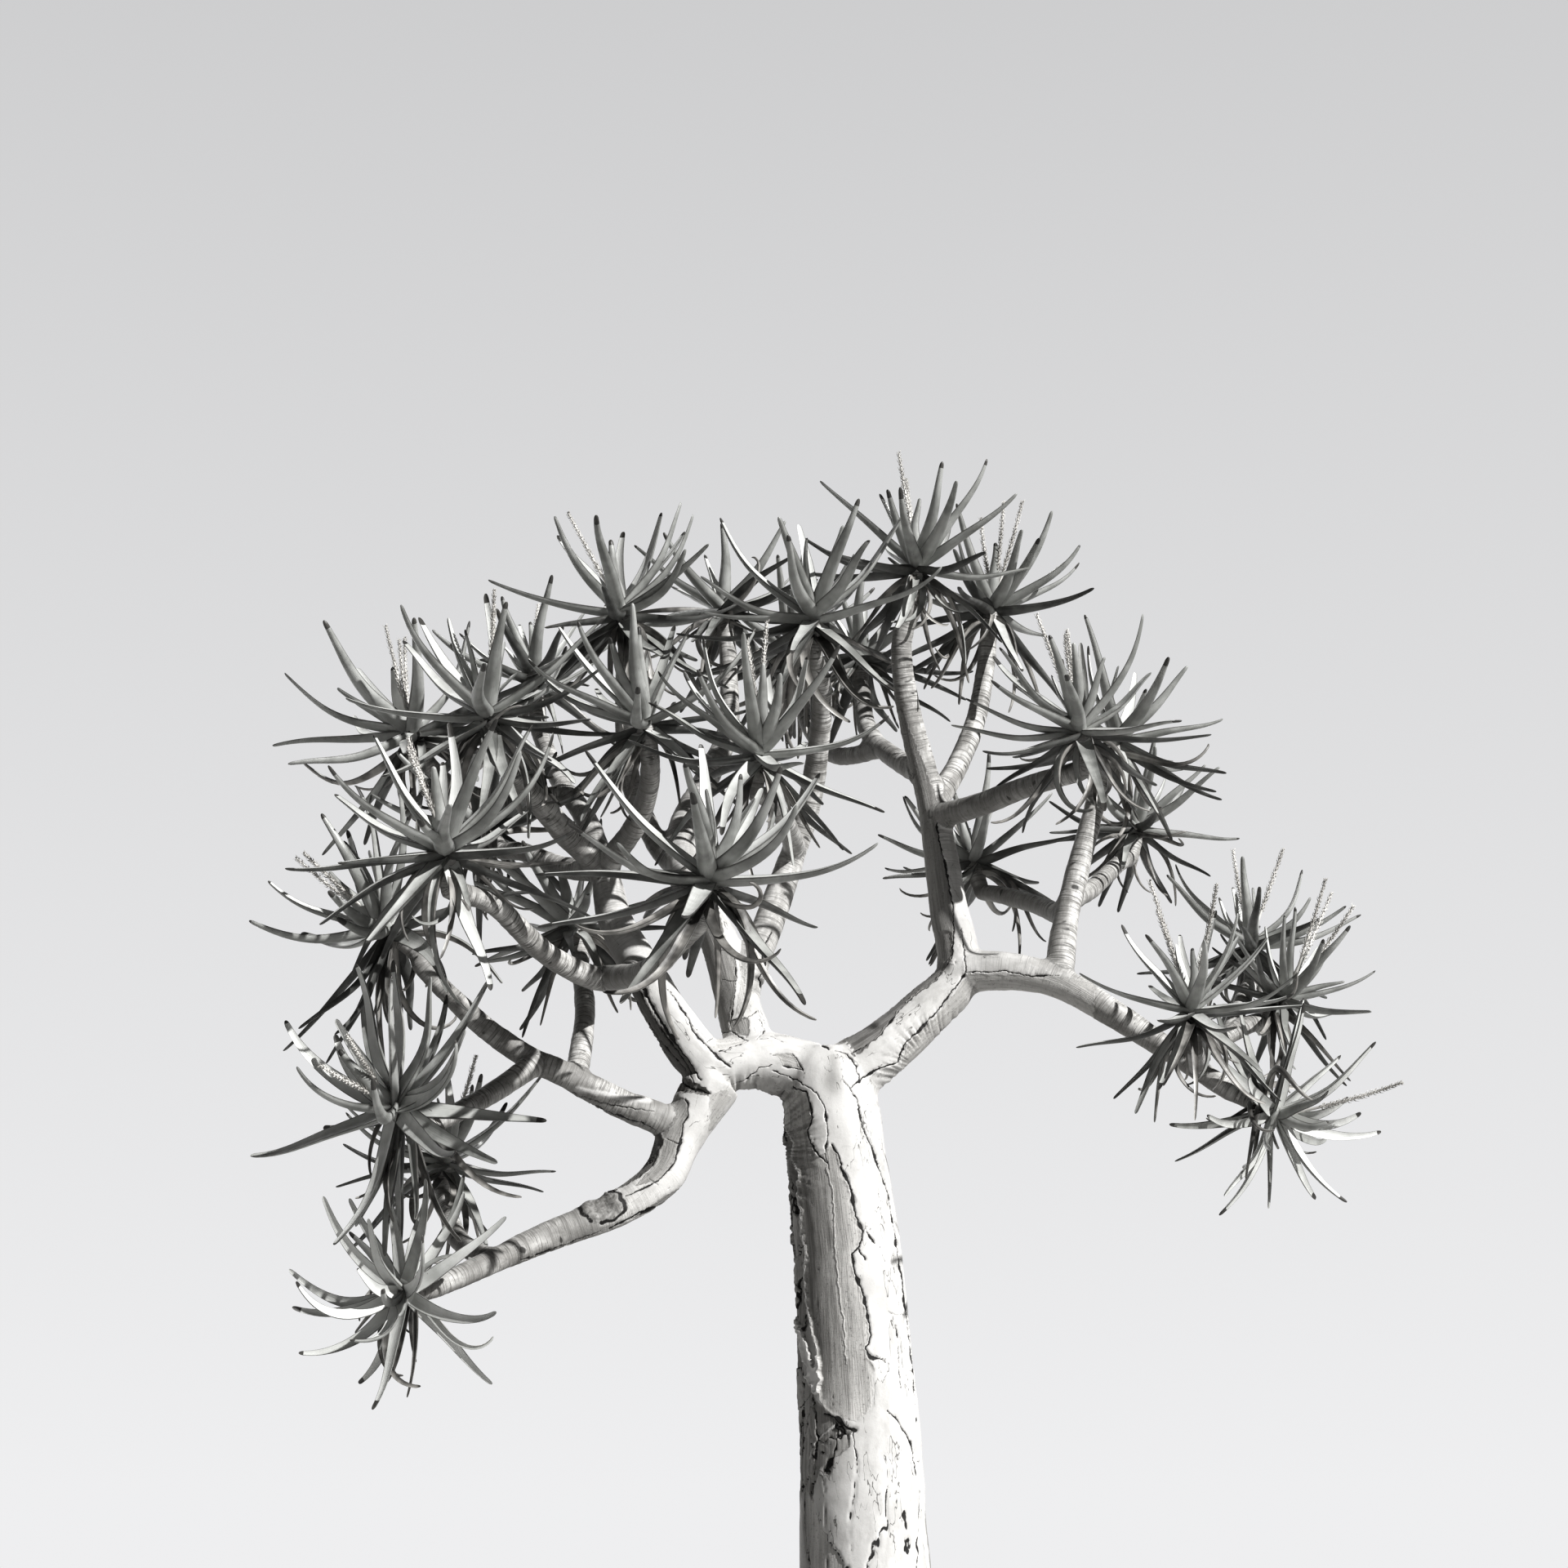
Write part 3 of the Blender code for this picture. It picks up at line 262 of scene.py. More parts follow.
# Patches of bark in the same pixels: the limbs they lie on, their lightness from 0 to 1, how deep they are in
# millimetres, the width of their soft edge in pixels, and their outline
PATCHES = {
    "left_side": (("trunk", "bough_left"), 0.14, 1.0, 3.0, [(905, 1345), (930, 1338), (945, 1346),
        *PANEL_LEFT, (991, 1623), (978, 1640), (985, 1690), (970, 1760), (890, 1790), (880, 1500)]),
    "torn_foot": (("trunk",), 0.3, 2.0, 3.0, [(985, 1690), (1000, 1714), (1026, 1740), (1044, 1750),
        (1040, 1772), (1022, 1786), (1016, 1812), (1003, 1800), (994, 1838), (984, 1822), (972, 1866),
        (962, 1840), (945, 1880), (920, 1845), (900, 1880), (880, 1850), (880, 1750)]),
    "panel": (("trunk",), 0.0, 4.0, 4.0, [(925, 1352), (950, 1336), *CRACKS["plate_edge"][1][:-1],
        *CRACKS["panel_edge"][1][:-2], (1070, 1668), (1075, 1700), (1072, 1724), (1062, 1738), (1047, 1745),
        (1027, 1738), (1010, 1727), (1001, 1710), (1003, 1670), (997, 1650), (991, 1623),
        *PANEL_LEFT[::-1]]),
    # The dark strip on the right bough and the grey left of its upright are partly grey bark and partly
    # painted shade, on the side turned from the key light
    "right_bough_strip": (("bough_right",), 0.2, 3.0, 3.0, [(1020, 1290), (1040, 1255), (1075, 1212),
        (1110, 1187), (1134, 1167), (1140, 1140), (1166, 1140), (1168, 1168), (1147, 1200), (1117, 1221),
        (1097, 1241), (1073, 1273), (1053, 1290), (1035, 1293)]),
    # Partly grey bark, partly painted shade
    "upright_left": (("bough_right",), 0.3, 1.0, 3.0, [(1110, 1178), (1110, 1100), (1105, 1000),
        (1090, 930), (1084, 870), (1104, 870), (1130, 930), (1149, 985), (1151, 996),
        *CRACKS["upright"][1][1:-1], (1166, 1178)]),
    "right_bough_under": (("bough_right", "bough_far_right", "trunk"), 0.62, 1.0, 2.0, [(1103, 1303),
        (1111, 1278), (1136, 1255), (1159, 1228), (1180, 1200), (1186, 1192), (1297, 1196), (1340, 1205),
        (1340, 1260), (1230, 1235), (1180, 1250), (1120, 1320)]),
    "left_strip": (("bough_centre", "bough_left"), -0.12, 5.0, 3.0, [(740, 1190), (770, 1188), (782, 1208),
        (796, 1240), (825, 1276), (846, 1303), (868, 1330), (855, 1342), (825, 1315), (795, 1280),
        (765, 1245)]),
    "knot_face": (("trunk", "bough_left"), 0.6, 2.0, 2.0, [(942, 1290), (970, 1290), (983, 1311),
        (960, 1305), (952, 1293)]),
    "crotch_under": (("bough_left", "trunk"), 0.3, 0.5, 7.0, [(880, 1362), (905, 1343), (935, 1331),
        (960, 1334), (972, 1342), (950, 1354), (925, 1356)]),
    "crotch_plate": (("bough_centre", "bough_left", "trunk"), 0.9, 1.5, 2.0, [*CRACKS["crotch_plate"][1]]),
    "centre_middle": (("bough_centre", "bough_left"), 0.7, 0.5, 8.0, [(900, 1173), (905, 1150), (925, 1170),
        (930, 1198), (927, 1238), (905, 1246), (893, 1250), (897, 1230), (902, 1197)]),
    "centre_left": (("bough_centre",), 0.25, 2.0, 3.0, [(840, 1100), (880, 1110), (890, 1161), (900, 1173),
        (902, 1197), (897, 1230), (890, 1264), (870, 1270), (850, 1220)]),
    "pocket": (("bough_centre", "bough_left", "trunk"), 0.35, 3.0, 2.0, [(891, 1250), (905, 1246),
        (916, 1245), (918, 1255), (916, 1270), (905, 1265), (892, 1262)]),
    "hook_grey": (("bough_low_left", "bough_left"), 0.34, 2.0, 3.0, [(812, 1334), (843, 1346), (843, 1365),
        (836, 1376), (834, 1397), (826, 1424), (806, 1446), (777, 1452), (802, 1427), (813, 1396),
        (806, 1384), (800, 1360)]),
    "hook_left": (("bough_low_left",), -0.05, 4.0, 3.0, [(790, 1378), (806, 1384), (813, 1396), (802, 1427),
        (777, 1446), (740, 1466), (715, 1462), (780, 1420)]),
    "hook_right": (("bough_low_left", "bough_left"), 0.5, 1.0, 7.0, [(865, 1337), (893, 1327), (900, 1345),
        (878, 1380), (862, 1400), (865, 1362)]),
    "hook_upper": (("bough_low_left", "bough_left"), 0.1, 3.0, 3.0, [(822, 1316), (845, 1322), (872, 1336),
        (868, 1342), (840, 1338), (815, 1336)]),
    "hook_low": (("bough_low_left",), 0.3, 2.0, 5.0, [(836, 1448), (832, 1460), (818, 1474), (795, 1486),
        (760, 1500), (790, 1478), (815, 1462)]),
}
LAYERED_PATCHES = {"left_side": 1.0, "torn_foot": 0.7, "hook_left": 0.7, "hook_upper": 0.5}
# The lightness of the panel from its left border to its right one
PANEL_SHARES = (0.0, 0.06, 0.28, 0.46, 0.52, 0.75, 1.0)
PANEL_TONES = (0.55, 0.16, 0.22, 0.27, 0.62, 0.52, 0.85)
CRACK_SHARE = 0.95
SHARP_EDGES = ("plate_edge", "panel_edge")
# Thin pale ridges in the grey panel, and the curled flap of bark below its left edge
RIDGES = {
    "divide": (1.0, 0.35, [(1011, 1430), (1020, 1460), (1021, 1520), (1027, 1582), (1033, 1620),
        (1036, 1670)]),
    "panel_left": (1.6, 0.55, [*PANEL_LEFT, (992, 1623), (998, 1650), (1003, 1672)]),
    "far_left_strip": (6.0, 0.85, [(706, 1333), (735, 1339), (765, 1345), (795, 1347)]),
    "foot": (2.0, 0.6, [(1023, 1743), (1010, 1754), (998, 1767), (990, 1785)]),
}
FLAP = [(975, 1612), (975, 1626), (979, 1640), (982, 1657), (984, 1667), (989, 1673), (990, 1680),
    (987, 1685), (991, 1695), (995, 1696), (996, 1707), (1003, 1707), (1004, 1697), (1007, 1690),
    (1004, 1680), (1006, 1670), (1003, 1662), (999, 1660), (999, 1674), (996, 1670), (992, 1653),
    (986, 1635), (982, 1623)]
# The bark is painted greyer and darker on the side that looks this way, away from the key light: partly
# weathering and partly painted shade
WEAR_AND_SHADE_SIDE = (-0.84, 0.18, -0.5)
# Limbs painted darker all round, partly wear and partly painted shade from the crown: how much, and from what
# distance along them in metres
WORN_AND_SHADED_LIMBS = {"bough_far_left": (1.0, 0.0), "branch_right_front": (1.0, 0.0),
    "branch_front_middle": (0.6, 0.0), "branch_back_centre": (0.5, 0.0), "bough_low_left": (0.85, 0.43),
    "branch_top_left": (0.5, 0.0), "branch_low_left_upright": (0.6, 0.0),
    "branch_far_left_low": (0.45, 0.0), "branch_back_right_inner": (0.7, 0.0),
    "branch_back_right": (0.5, 0.0)}
# Boxes of the photograph in which the bark is drawn, not grown: left, top, right and bottom
DRAWN_BOXES = ((880, 1230, 1200, 1790), (1095, 1110, 1215, 1300), (740, 1190, 900, 1350),
    (1180, 1150, 1310, 1250), (740, 1310, 900, 1490), (840, 1100, 960, 1250), (1095, 975, 1215, 1110),
    (690, 1310, 810, 1395), (600, 1480, 745, 1560))
BOX_FADE = 34
# Nothing is drawn further than this before or behind the trunk's middle
DRAWN_DEPTH = 0.25
# Folds that fan out where two limbs part: the limbs, the fan's middle, its inner and outer reach in pixels
FANS = ((("trunk", "bough_left"), (912, 1408), 40, 105), (("trunk", "bough_right"), (1165, 1330), 55, 105))
# The shaded dent at the fork and the torn round scar: middle and half size in pixels
DENT = ((1016, 1317), (10, 24))
KNOT = ((738, 1477), (27, 20))


def smooth_path(places, spacing):
    points = [Vector(place) for place in places]
    ends = [2 * points[0] - points[1], *points, 2 * points[-1] - points[-2]]
    path = [points[0].copy()]
    for before, start, end, after in zip(ends, ends[1:], ends[2:], ends[3:]):
        steps = max(1, round((end - start).length / spacing))
        for step in range(1, steps + 1):
            t = step / steps
            path.append(0.5 * (2 * start + (end - before) * t
                               + (2 * before - 5 * start + 4 * end - after) * t * t
                               + (3 * start - before - 3 * end + after) * t ** 3))
    return path


def shares_along(path):
    lengths = [0.0]
    for start, end in zip(path, path[1:]):
        lengths.append(lengths[-1] + (end - start).length)
    return [length / lengths[-1] for length in lengths]


def limb_radii(path, radius_at_start, radius_at_tip):
    return [radius_at_tip + (radius_at_start - radius_at_tip) * (1 - share) ** LIMB_TAPER_POWER
            for share in shares_along(path)]


def frames_along(path, side=Vector((0, 1, 0.01))):
    frames = []
    for index in range(len(path)):
        tangent = (path[min(index + 1, len(path) - 1)] - path[max(index - 1, 0)]).normalized()
        side = (side - tangent * side.dot(tangent)).normalized()
        frames.append((tangent, side, tangent.cross(side)))
    return frames


def limb_path(limb, spacing):
    name, places, _, _ = limb
    axis = next(Vector(rosette[1]).normalized() for rosette in ROSETTES if rosette[0] == name)
    bend = Vector(places[-1]) - axis * ROSETTE_DEPTH
    return [*smooth_path([*places[:-1], bend], spacing), bend + axis * LIMB_TIP_LENGTH]


def trunk_radius(height, turn):
    radius = TRUNK_RADIUS_AT_FORK + TRUNK_TAPER * max(0.0, FORK_HEIGHT - height)
    foot = math.exp(-height / ROOT_FLARE_HEIGHT)
    radius += foot * (ROOT_FLARE + ROOT_LOBE_DEPTH * math.cos(ROOT_LOBES * turn))
    above_fork = max(0.0, height - FORK_HEIGHT) / (TRUNK_TOP - FORK_HEIGHT)
    return radius * math.sqrt(1 - DOME_DROP * above_fork ** 2)


def trunk_centre(height):
    for start, end in zip(TRUNK_AXIS, TRUNK_AXIS[1:]):
        if height <= end[2]:
            return Vector(start).lerp(Vector(end), (height - start[2]) / (end[2] - start[2]))
    return Vector(TRUNK_AXIS[-1])


def outward(side, normal, turn):
    return side * math.cos(turn) + normal * math.sin(turn)


# Meshes from plain lists

@contextmanager
def editing(mesh):
    """A mesh, open for changes to its edges and faces."""
    shape = bmesh.new()
    shape.from_mesh(mesh)
    yield shape
    shape.to_mesh(mesh)
    shape.free()


class MeshLists:
    """Points and faces of many small shapes that become one mesh."""

    def __init__(self):
        self.points, self.faces = [], []

    def add_rows(self, rings, closed):
        """Faces between rings of points. Gives the last ring's first point and the steps round a ring."""
        start, sides = len(self.points), len(rings[0])
        for ring in rings:
            self.points.extend(ring)
        steps = [(index, (index + 1) % sides) for index in range(sides if closed else sides - 1)]
        end = start + (len(rings) - 1) * sides
        for low in range(start, end, sides):
            self.faces.extend((low + a, low + b, low + sides + b, low + sides + a) for a, b in steps)
        return end, steps

    def add_tip(self, end, steps, tip):
        """A point beyond the last ring, joined to it."""
        self.points.append(tip)
        self.faces.extend((end + a, end + b, len(self.points) - 1) for a, b in steps)

    def add_rings(self, rings, tip=None):
        """A closed skin through rings of points, flat at its start, and at its end where it has no tip."""
        first, sides = len(self.points), len(rings[0])
        end, steps = self.add_rows(rings, closed=True)
        self.faces.append(tuple(range(first, first + sides)))
        if tip is None:
            self.faces.append(tuple(range(end, end + sides)))
        else:
            self.add_tip(end, steps, tip)

    def mesh(self, name):
        mesh = bpy.data.meshes.new(name)
        mesh.from_pydata([tuple(point) for point in self.points], [], self.faces)
        with editing(mesh) as shape:
            bmesh.ops.recalc_face_normals(shape, faces=shape.faces)
        mesh.shade_smooth()
        return mesh


def ring(point, side, normal, radius, sides):
    return [point + radius * outward(side, normal, 2 * math.pi * index / sides) for index in range(sides)]


def placed(name, data):
    """A new object in the scene."""
    obj = bpy.data.objects.new(name, data)
    bpy.context.scene.collection.objects.link(obj)
    return obj


def read(items, name, width=1, kind=float):
    """One property of many parts of a mesh."""
    values = np.empty(len(items) * width, dtype=kind)
    items.foreach_get(name, values)
    return values.reshape(-1, width) if width > 1 else values


def add_field(mesh, name, values):
    """Writes a number or a vector for each point into the mesh, for its material."""
    values = np.array(values, dtype=np.float32)
    kind, word = ("FLOAT", "value") if values.ndim == 1 else ("FLOAT_VECTOR", "vector")
    mesh.attributes.new(name, kind, "POINT").data.foreach_set(word, values.ravel())


def new_piece(name, mesh, material, nodes=()):
    """An object that rides on the plant's only body and takes its finish from a slot of the record."""
    mesh.materials.clear()
    mesh.materials.append(material)
    obj = placed(name, mesh)
    if nodes:
        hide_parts(*nodes)
    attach(obj, "root")


# Noise over arrays of points

GRADIENTS = np.random.default_rng(SEED).normal(size=(256, 3))
GRADIENTS /= np.linalg.norm(GRADIENTS, axis=1)[:, None]
SHUFFLE = np.random.default_rng(SEED + 1).permutation(256)


def shuffled(cell):
    """A number from 0 to 255 for each cell of space."""
    key = cell & 255
    return SHUFFLE[(SHUFFLE[(SHUFFLE[key[:, 0]] + key[:, 1]) & 255] + key[:, 2]) & 255]


def noise(places, scale=1, shift=0):
    """Smooth noise between about -0.7 and 0.7, with as many lumps to one unit as its scale."""
    places = places * np.array(scale) + shift
    cell = np.floor(places).astype(np.int64)
    part = places - cell
    fade = part * part * part * (part * (part * 6 - 15) + 10)
    total = np.zeros(len(places))
    for corner in np.ndindex(2, 2, 2):
        corner = np.array(corner)
        row = shuffled(cell + corner)
        weight = np.prod(np.where(corner == 1, fade, 1 - fade), axis=1)
        total += weight * np.einsum("ij,ij->i", GRADIENTS[row], part - corner)
    return total


def layered(places, scale, octaves, shift=0, gain=0.5):
    """Noise with finer and weaker noise on top."""
    places = places * np.array(scale) + shift
    total, strength, scale = np.zeros(len(places)), 1.0, 1.0
    for octave in range(octaves):
        total += strength * noise(places, scale, 17.3 * octave)
        strength *= gain
        scale *= 2.03
    return total


def several(places, scale, shifts):
    """Independent noises side by side."""
    return np.stack([noise(places, scale, shift) for shift in shifts], axis=1)


def flakes(places):
    """Angular cells one unit wide: each point's cell as a number from 0 to 1, its tilt, and its own edge."""
    cell = np.floor(places).astype(np.int64)
    nearest, second = np.full((2, len(places)), 9.0)
    number, tilt = np.zeros((2, len(places)))
    for corner in np.ndindex(3, 3, 3):
        offset = np.array(corner) - 1
        row = shuffled(cell + offset)
        rest = places - cell - offset - 0.5 - 0.45 * GRADIENTS[row]
        distance = np.linalg.norm(rest, axis=1)
        closer = distance < nearest
        second = np.where(closer, nearest, np.minimum(second, distance))
        nearest = np.where(closer, distance, nearest)
        number = np.where(closer, row / 255, number)
        tilt = np.where(closer, (rest * GRADIENTS[(row + 9) & 255]).sum(1), tilt)
    return number, tilt, second - nearest


def smooth_step(value, low, high):
    share = np.clip((value - low) / (high - low), 0, 1)
    return share * share * (3 - 2 * share)


def raise_to(field, chosen, values):
    field[chosen] = np.maximum(field[chosen], values)


def lower_to(field, chosen, values):
    field[chosen] = np.minimum(field[chosen], values)


# Wood

def wood_profile(limb):
    """The dense middle line and radii of a limb, from inside its parent to inside its rosette."""
    path = limb_path(limb, WOOD_RING_SPACING)
    radii = limb_radii(path, *limb[2:])
    axis = (path[-1] - path[-2]).normalized()
    core_base, tip_radius = path[-1], radii[-1]
    for share, scale in ((0.25, 1.12), (0.5, 1.12), (0.7, 0.8), (0.85, 0.35)):
        path.append(core_base + axis * CORE_LENGTH * share)
        radii.append(tip_radius * scale)
    return path, radii


def add_trunk(lists):
    rings = []
    turns = [2 * math.pi * index / TRUNK_SIDES for index in range(TRUNK_SIDES)]
    for index in range(TRUNK_RINGS + 1):
        height = TRUNK_TOP * index / TRUNK_RINGS
        centre = trunk_centre(height)
        rings.append([centre + Vector((math.cos(turn), math.sin(turn), 0)) * trunk_radius(height, turn)
                      for turn in turns])
    lists.add_rings(rings)


def add_limb(lists, limb):
    path, radii = wood_profile(limb)
    collar_reach = COLLAR_REACH * limb[2]
    rings, along = [], 0.0
    for index, (point, radius, (_, side, normal)) in enumerate(zip(path, radii, frames_along(path))):
        along += (point - path[index - 1]).length if index else 0.0
        collar = 1 + COLLAR_SWELL * math.exp(-along / collar_reach)
        rings.append(ring(point, side, normal, radius * collar, WOOD_SIDES))
    lists.add_rings(rings)


def remeshed(mesh, voxel):
    """The outer skin of the crossing tubes as one closed mesh of small even faces."""
    obj = placed("wood_source", mesh)
    modifier = obj.modifiers.new("Skin", "REMESH")
    modifier.mode = "VOXEL"
    modifier.voxel_size = voxel
    result = bpy.data.meshes.new_from_object(obj.evaluated_get(bpy.context.evaluated_depsgraph_get()))
    bpy.data.objects.remove(obj)
    return result


def places_of(mesh):
    return read(mesh.vertices, "co", 3)


def normals_of(mesh):
    return read(mesh.vertex_normals, "vector", 3)


def set_places(mesh, places):
    mesh.vertices.foreach_set("co", places.ravel())
    mesh.update()


def edges_of(mesh):
    return read(mesh.edges, "vertices", 2, np.int64)


def smoothed(places, edges, rounds, share):
    """Each point moves a share of the way to the middle of its neighbours, round after round."""
    first, second = edges.T
    count = np.bincount(edges.ravel(), minlength=len(places))[:, None]
    for _ in range(rounds):
        sums = [np.bincount(first, places[second, axis], len(places))
                + np.bincount(second, places[first, axis], len(places)) for axis in range(3)]
        places = places + (np.stack(sums, axis=1) / count - places) * share
    return places


class Wood:
    """For each point of the wood: the limb it lies on, and its place in that limb's straightened shape."""

    def __init__(self, places):
        count = len(places)
        self.limb = np.full(count, -1)
        self.gap, self.second_gap = np.full((2, count), 9.0)
        self.along, self.radius, self.turn = np.zeros((3, count))
        heights = [TRUNK_TOP * index / TRUNK_STATIONS for index in range(TRUNK_STATIONS + 1)]
        self.take(0, places, [trunk_centre(height) for height in heights],
                  [trunk_radius(height, 0.3) for height in heights])
        for index, limb in enumerate(LIMBS):
            path, radii = wood_profile(limb)
            fine, fine_radii = [path[0]], [radii[0]]
            for start, end, first, last in zip(path, path[1:], radii, radii[1:]):
                for part in (0.5, 1.0):
                    fine.append(start.lerp(end, part))
                    fine_radii.append(first + (last - first) * part)
            self.take(index + 1, places, fine, fine_radii)
        self.fork = 1 - smooth_step(self.second_gap - self.gap, 0.0, FORK_REACH)

    def lies_on(self, limbs):
        return np.isin(self.limb, [LIMB_NUMBERS[name] for name in limbs])

    def take(self, number, places, path, radii):
        """Gives a limb the points that are nearer to its skin than to any limb before."""
        points, radii = np.array(path), np.array(radii)
        lengths = np.concatenate([[0], np.cumsum(np.linalg.norm(np.diff(points, axis=0), axis=1))])
        reach = radii[0] + LIMB_REACH
        near = np.nonzero(((places > points.min(0) - reach) & (places < points.max(0) + reach)).all(1))[0]
        tangents, sides, normals = (np.array(axes) for axes in zip(*frames_along(path)))
        for chunk in np.array_split(near, max(1, len(near) // 20000)):
            offset = places[chunk][:, None] - points[None]
            nearest = (offset ** 2).sum(-1).argmin(1)
            rest = places[chunk] - points[nearest]
            ahead, across, up = ((rest * axes[nearest]).sum(1) for axes in (tangents, sides, normals))
            gap = np.hypot(across, up) - radii[nearest]
            along = lengths[nearest] + ahead
            beyond = np.maximum(0, np.maximum(along - lengths[-1], -along))
            gap = np.hypot(gap, beyond) + np.minimum(gap, 0) * (beyond == 0) * 2
            wins = gap < self.gap[chunk]
            self.second_gap[chunk] = np.where(wins, self.gap[chunk], np.minimum(self.second_gap[chunk], gap))
            chosen = chunk[wins]
            self.limb[chosen] = number
            self.gap[chosen] = gap[wins]
            self.along[chosen] = along[wins]
            self.radius[chosen] = radii[nearest][wins]
            self.turn[chosen] = np.arctan2(up, across)[wins]


def in_photo(places):
    """The photograph's pixel at which each place shows."""
    rest = places - np.array(CAMERA_PLACE)
    ahead = rest[:, 1] * math.cos(CAMERA_PITCH) + rest[:, 2] * math.sin(CAMERA_PITCH)
    above = rest[:, 2] * math.cos(CAMERA_PITCH) - rest[:, 1] * math.sin(CAMERA_PITCH)
    pixels, middle = PHOTO_SIDE * LENS / SENSOR, PHOTO_SIDE / 2
    return np.stack([middle + pixels * rest[:, 0] / ahead, middle - pixels * above / ahead], axis=1)


def line_distance(pixels, line):
    """The distance to a line of pixels, and how far along it the nearest part is, from 0 to 1."""
    best, share = np.full(len(pixels), 1e9), np.zeros(len(pixels))
    line = np.array(line, dtype=float)
    for index, (start, end) in enumerate(zip(line, line[1:])):
        part = np.clip(((pixels - start) @ (end - start)) / ((end - start) @ (end - start)), 0, 1)
        distance = np.linalg.norm(pixels - start - part[:, None] * (end - start), axis=1)
        nearer = distance < best
        best = np.where(nearer, distance, best)
        share = np.where(nearer, (index + part) / (len(line) - 1), share)
    return best, share


def nearest_line(pixels, lines):
    """The distance to the nearest of several lines, with a limit far from them all."""
    nearest = np.full(len(pixels), 99.0)
    for line in lines:
        nearest = np.minimum(nearest, line_distance(pixels, line)[0])
    return nearest


def outline_depth(pixels, outline):
    """How far inside an outline each pixel is, in pixels, and below zero outside."""
    closed = [*outline, outline[0]]
    distance, _ = line_distance(pixels, closed)
    inside = np.zeros(len(pixels), dtype=bool)
    for (x0, y0), (x1, y1) in zip(closed, closed[1:]):
        crosses = (y0 > pixels[:, 1]) != (y1 > pixels[:, 1])
        if y0 != y1:
            inside ^= crosses & (pixels[:, 0] < (x1 - x0) * (pixels[:, 1] - y0) / (y1 - y0) + x0)
    return np.where(inside, distance, -distance)


LIMB_NUMBERS = {"trunk": 0, **{limb[0]: index + 1 for index, limb in enumerate(LIMBS)}}
DRAWN_LIMBS = ("trunk", "bough_left", "bough_right", "bough_centre", "bough_far_right", "bough_low_left",
               "bough_centre_right", "bough_far_left")
MM = 0.001
# What one pixel of the photograph spans at the tree
PIXEL = 1.8 * MM


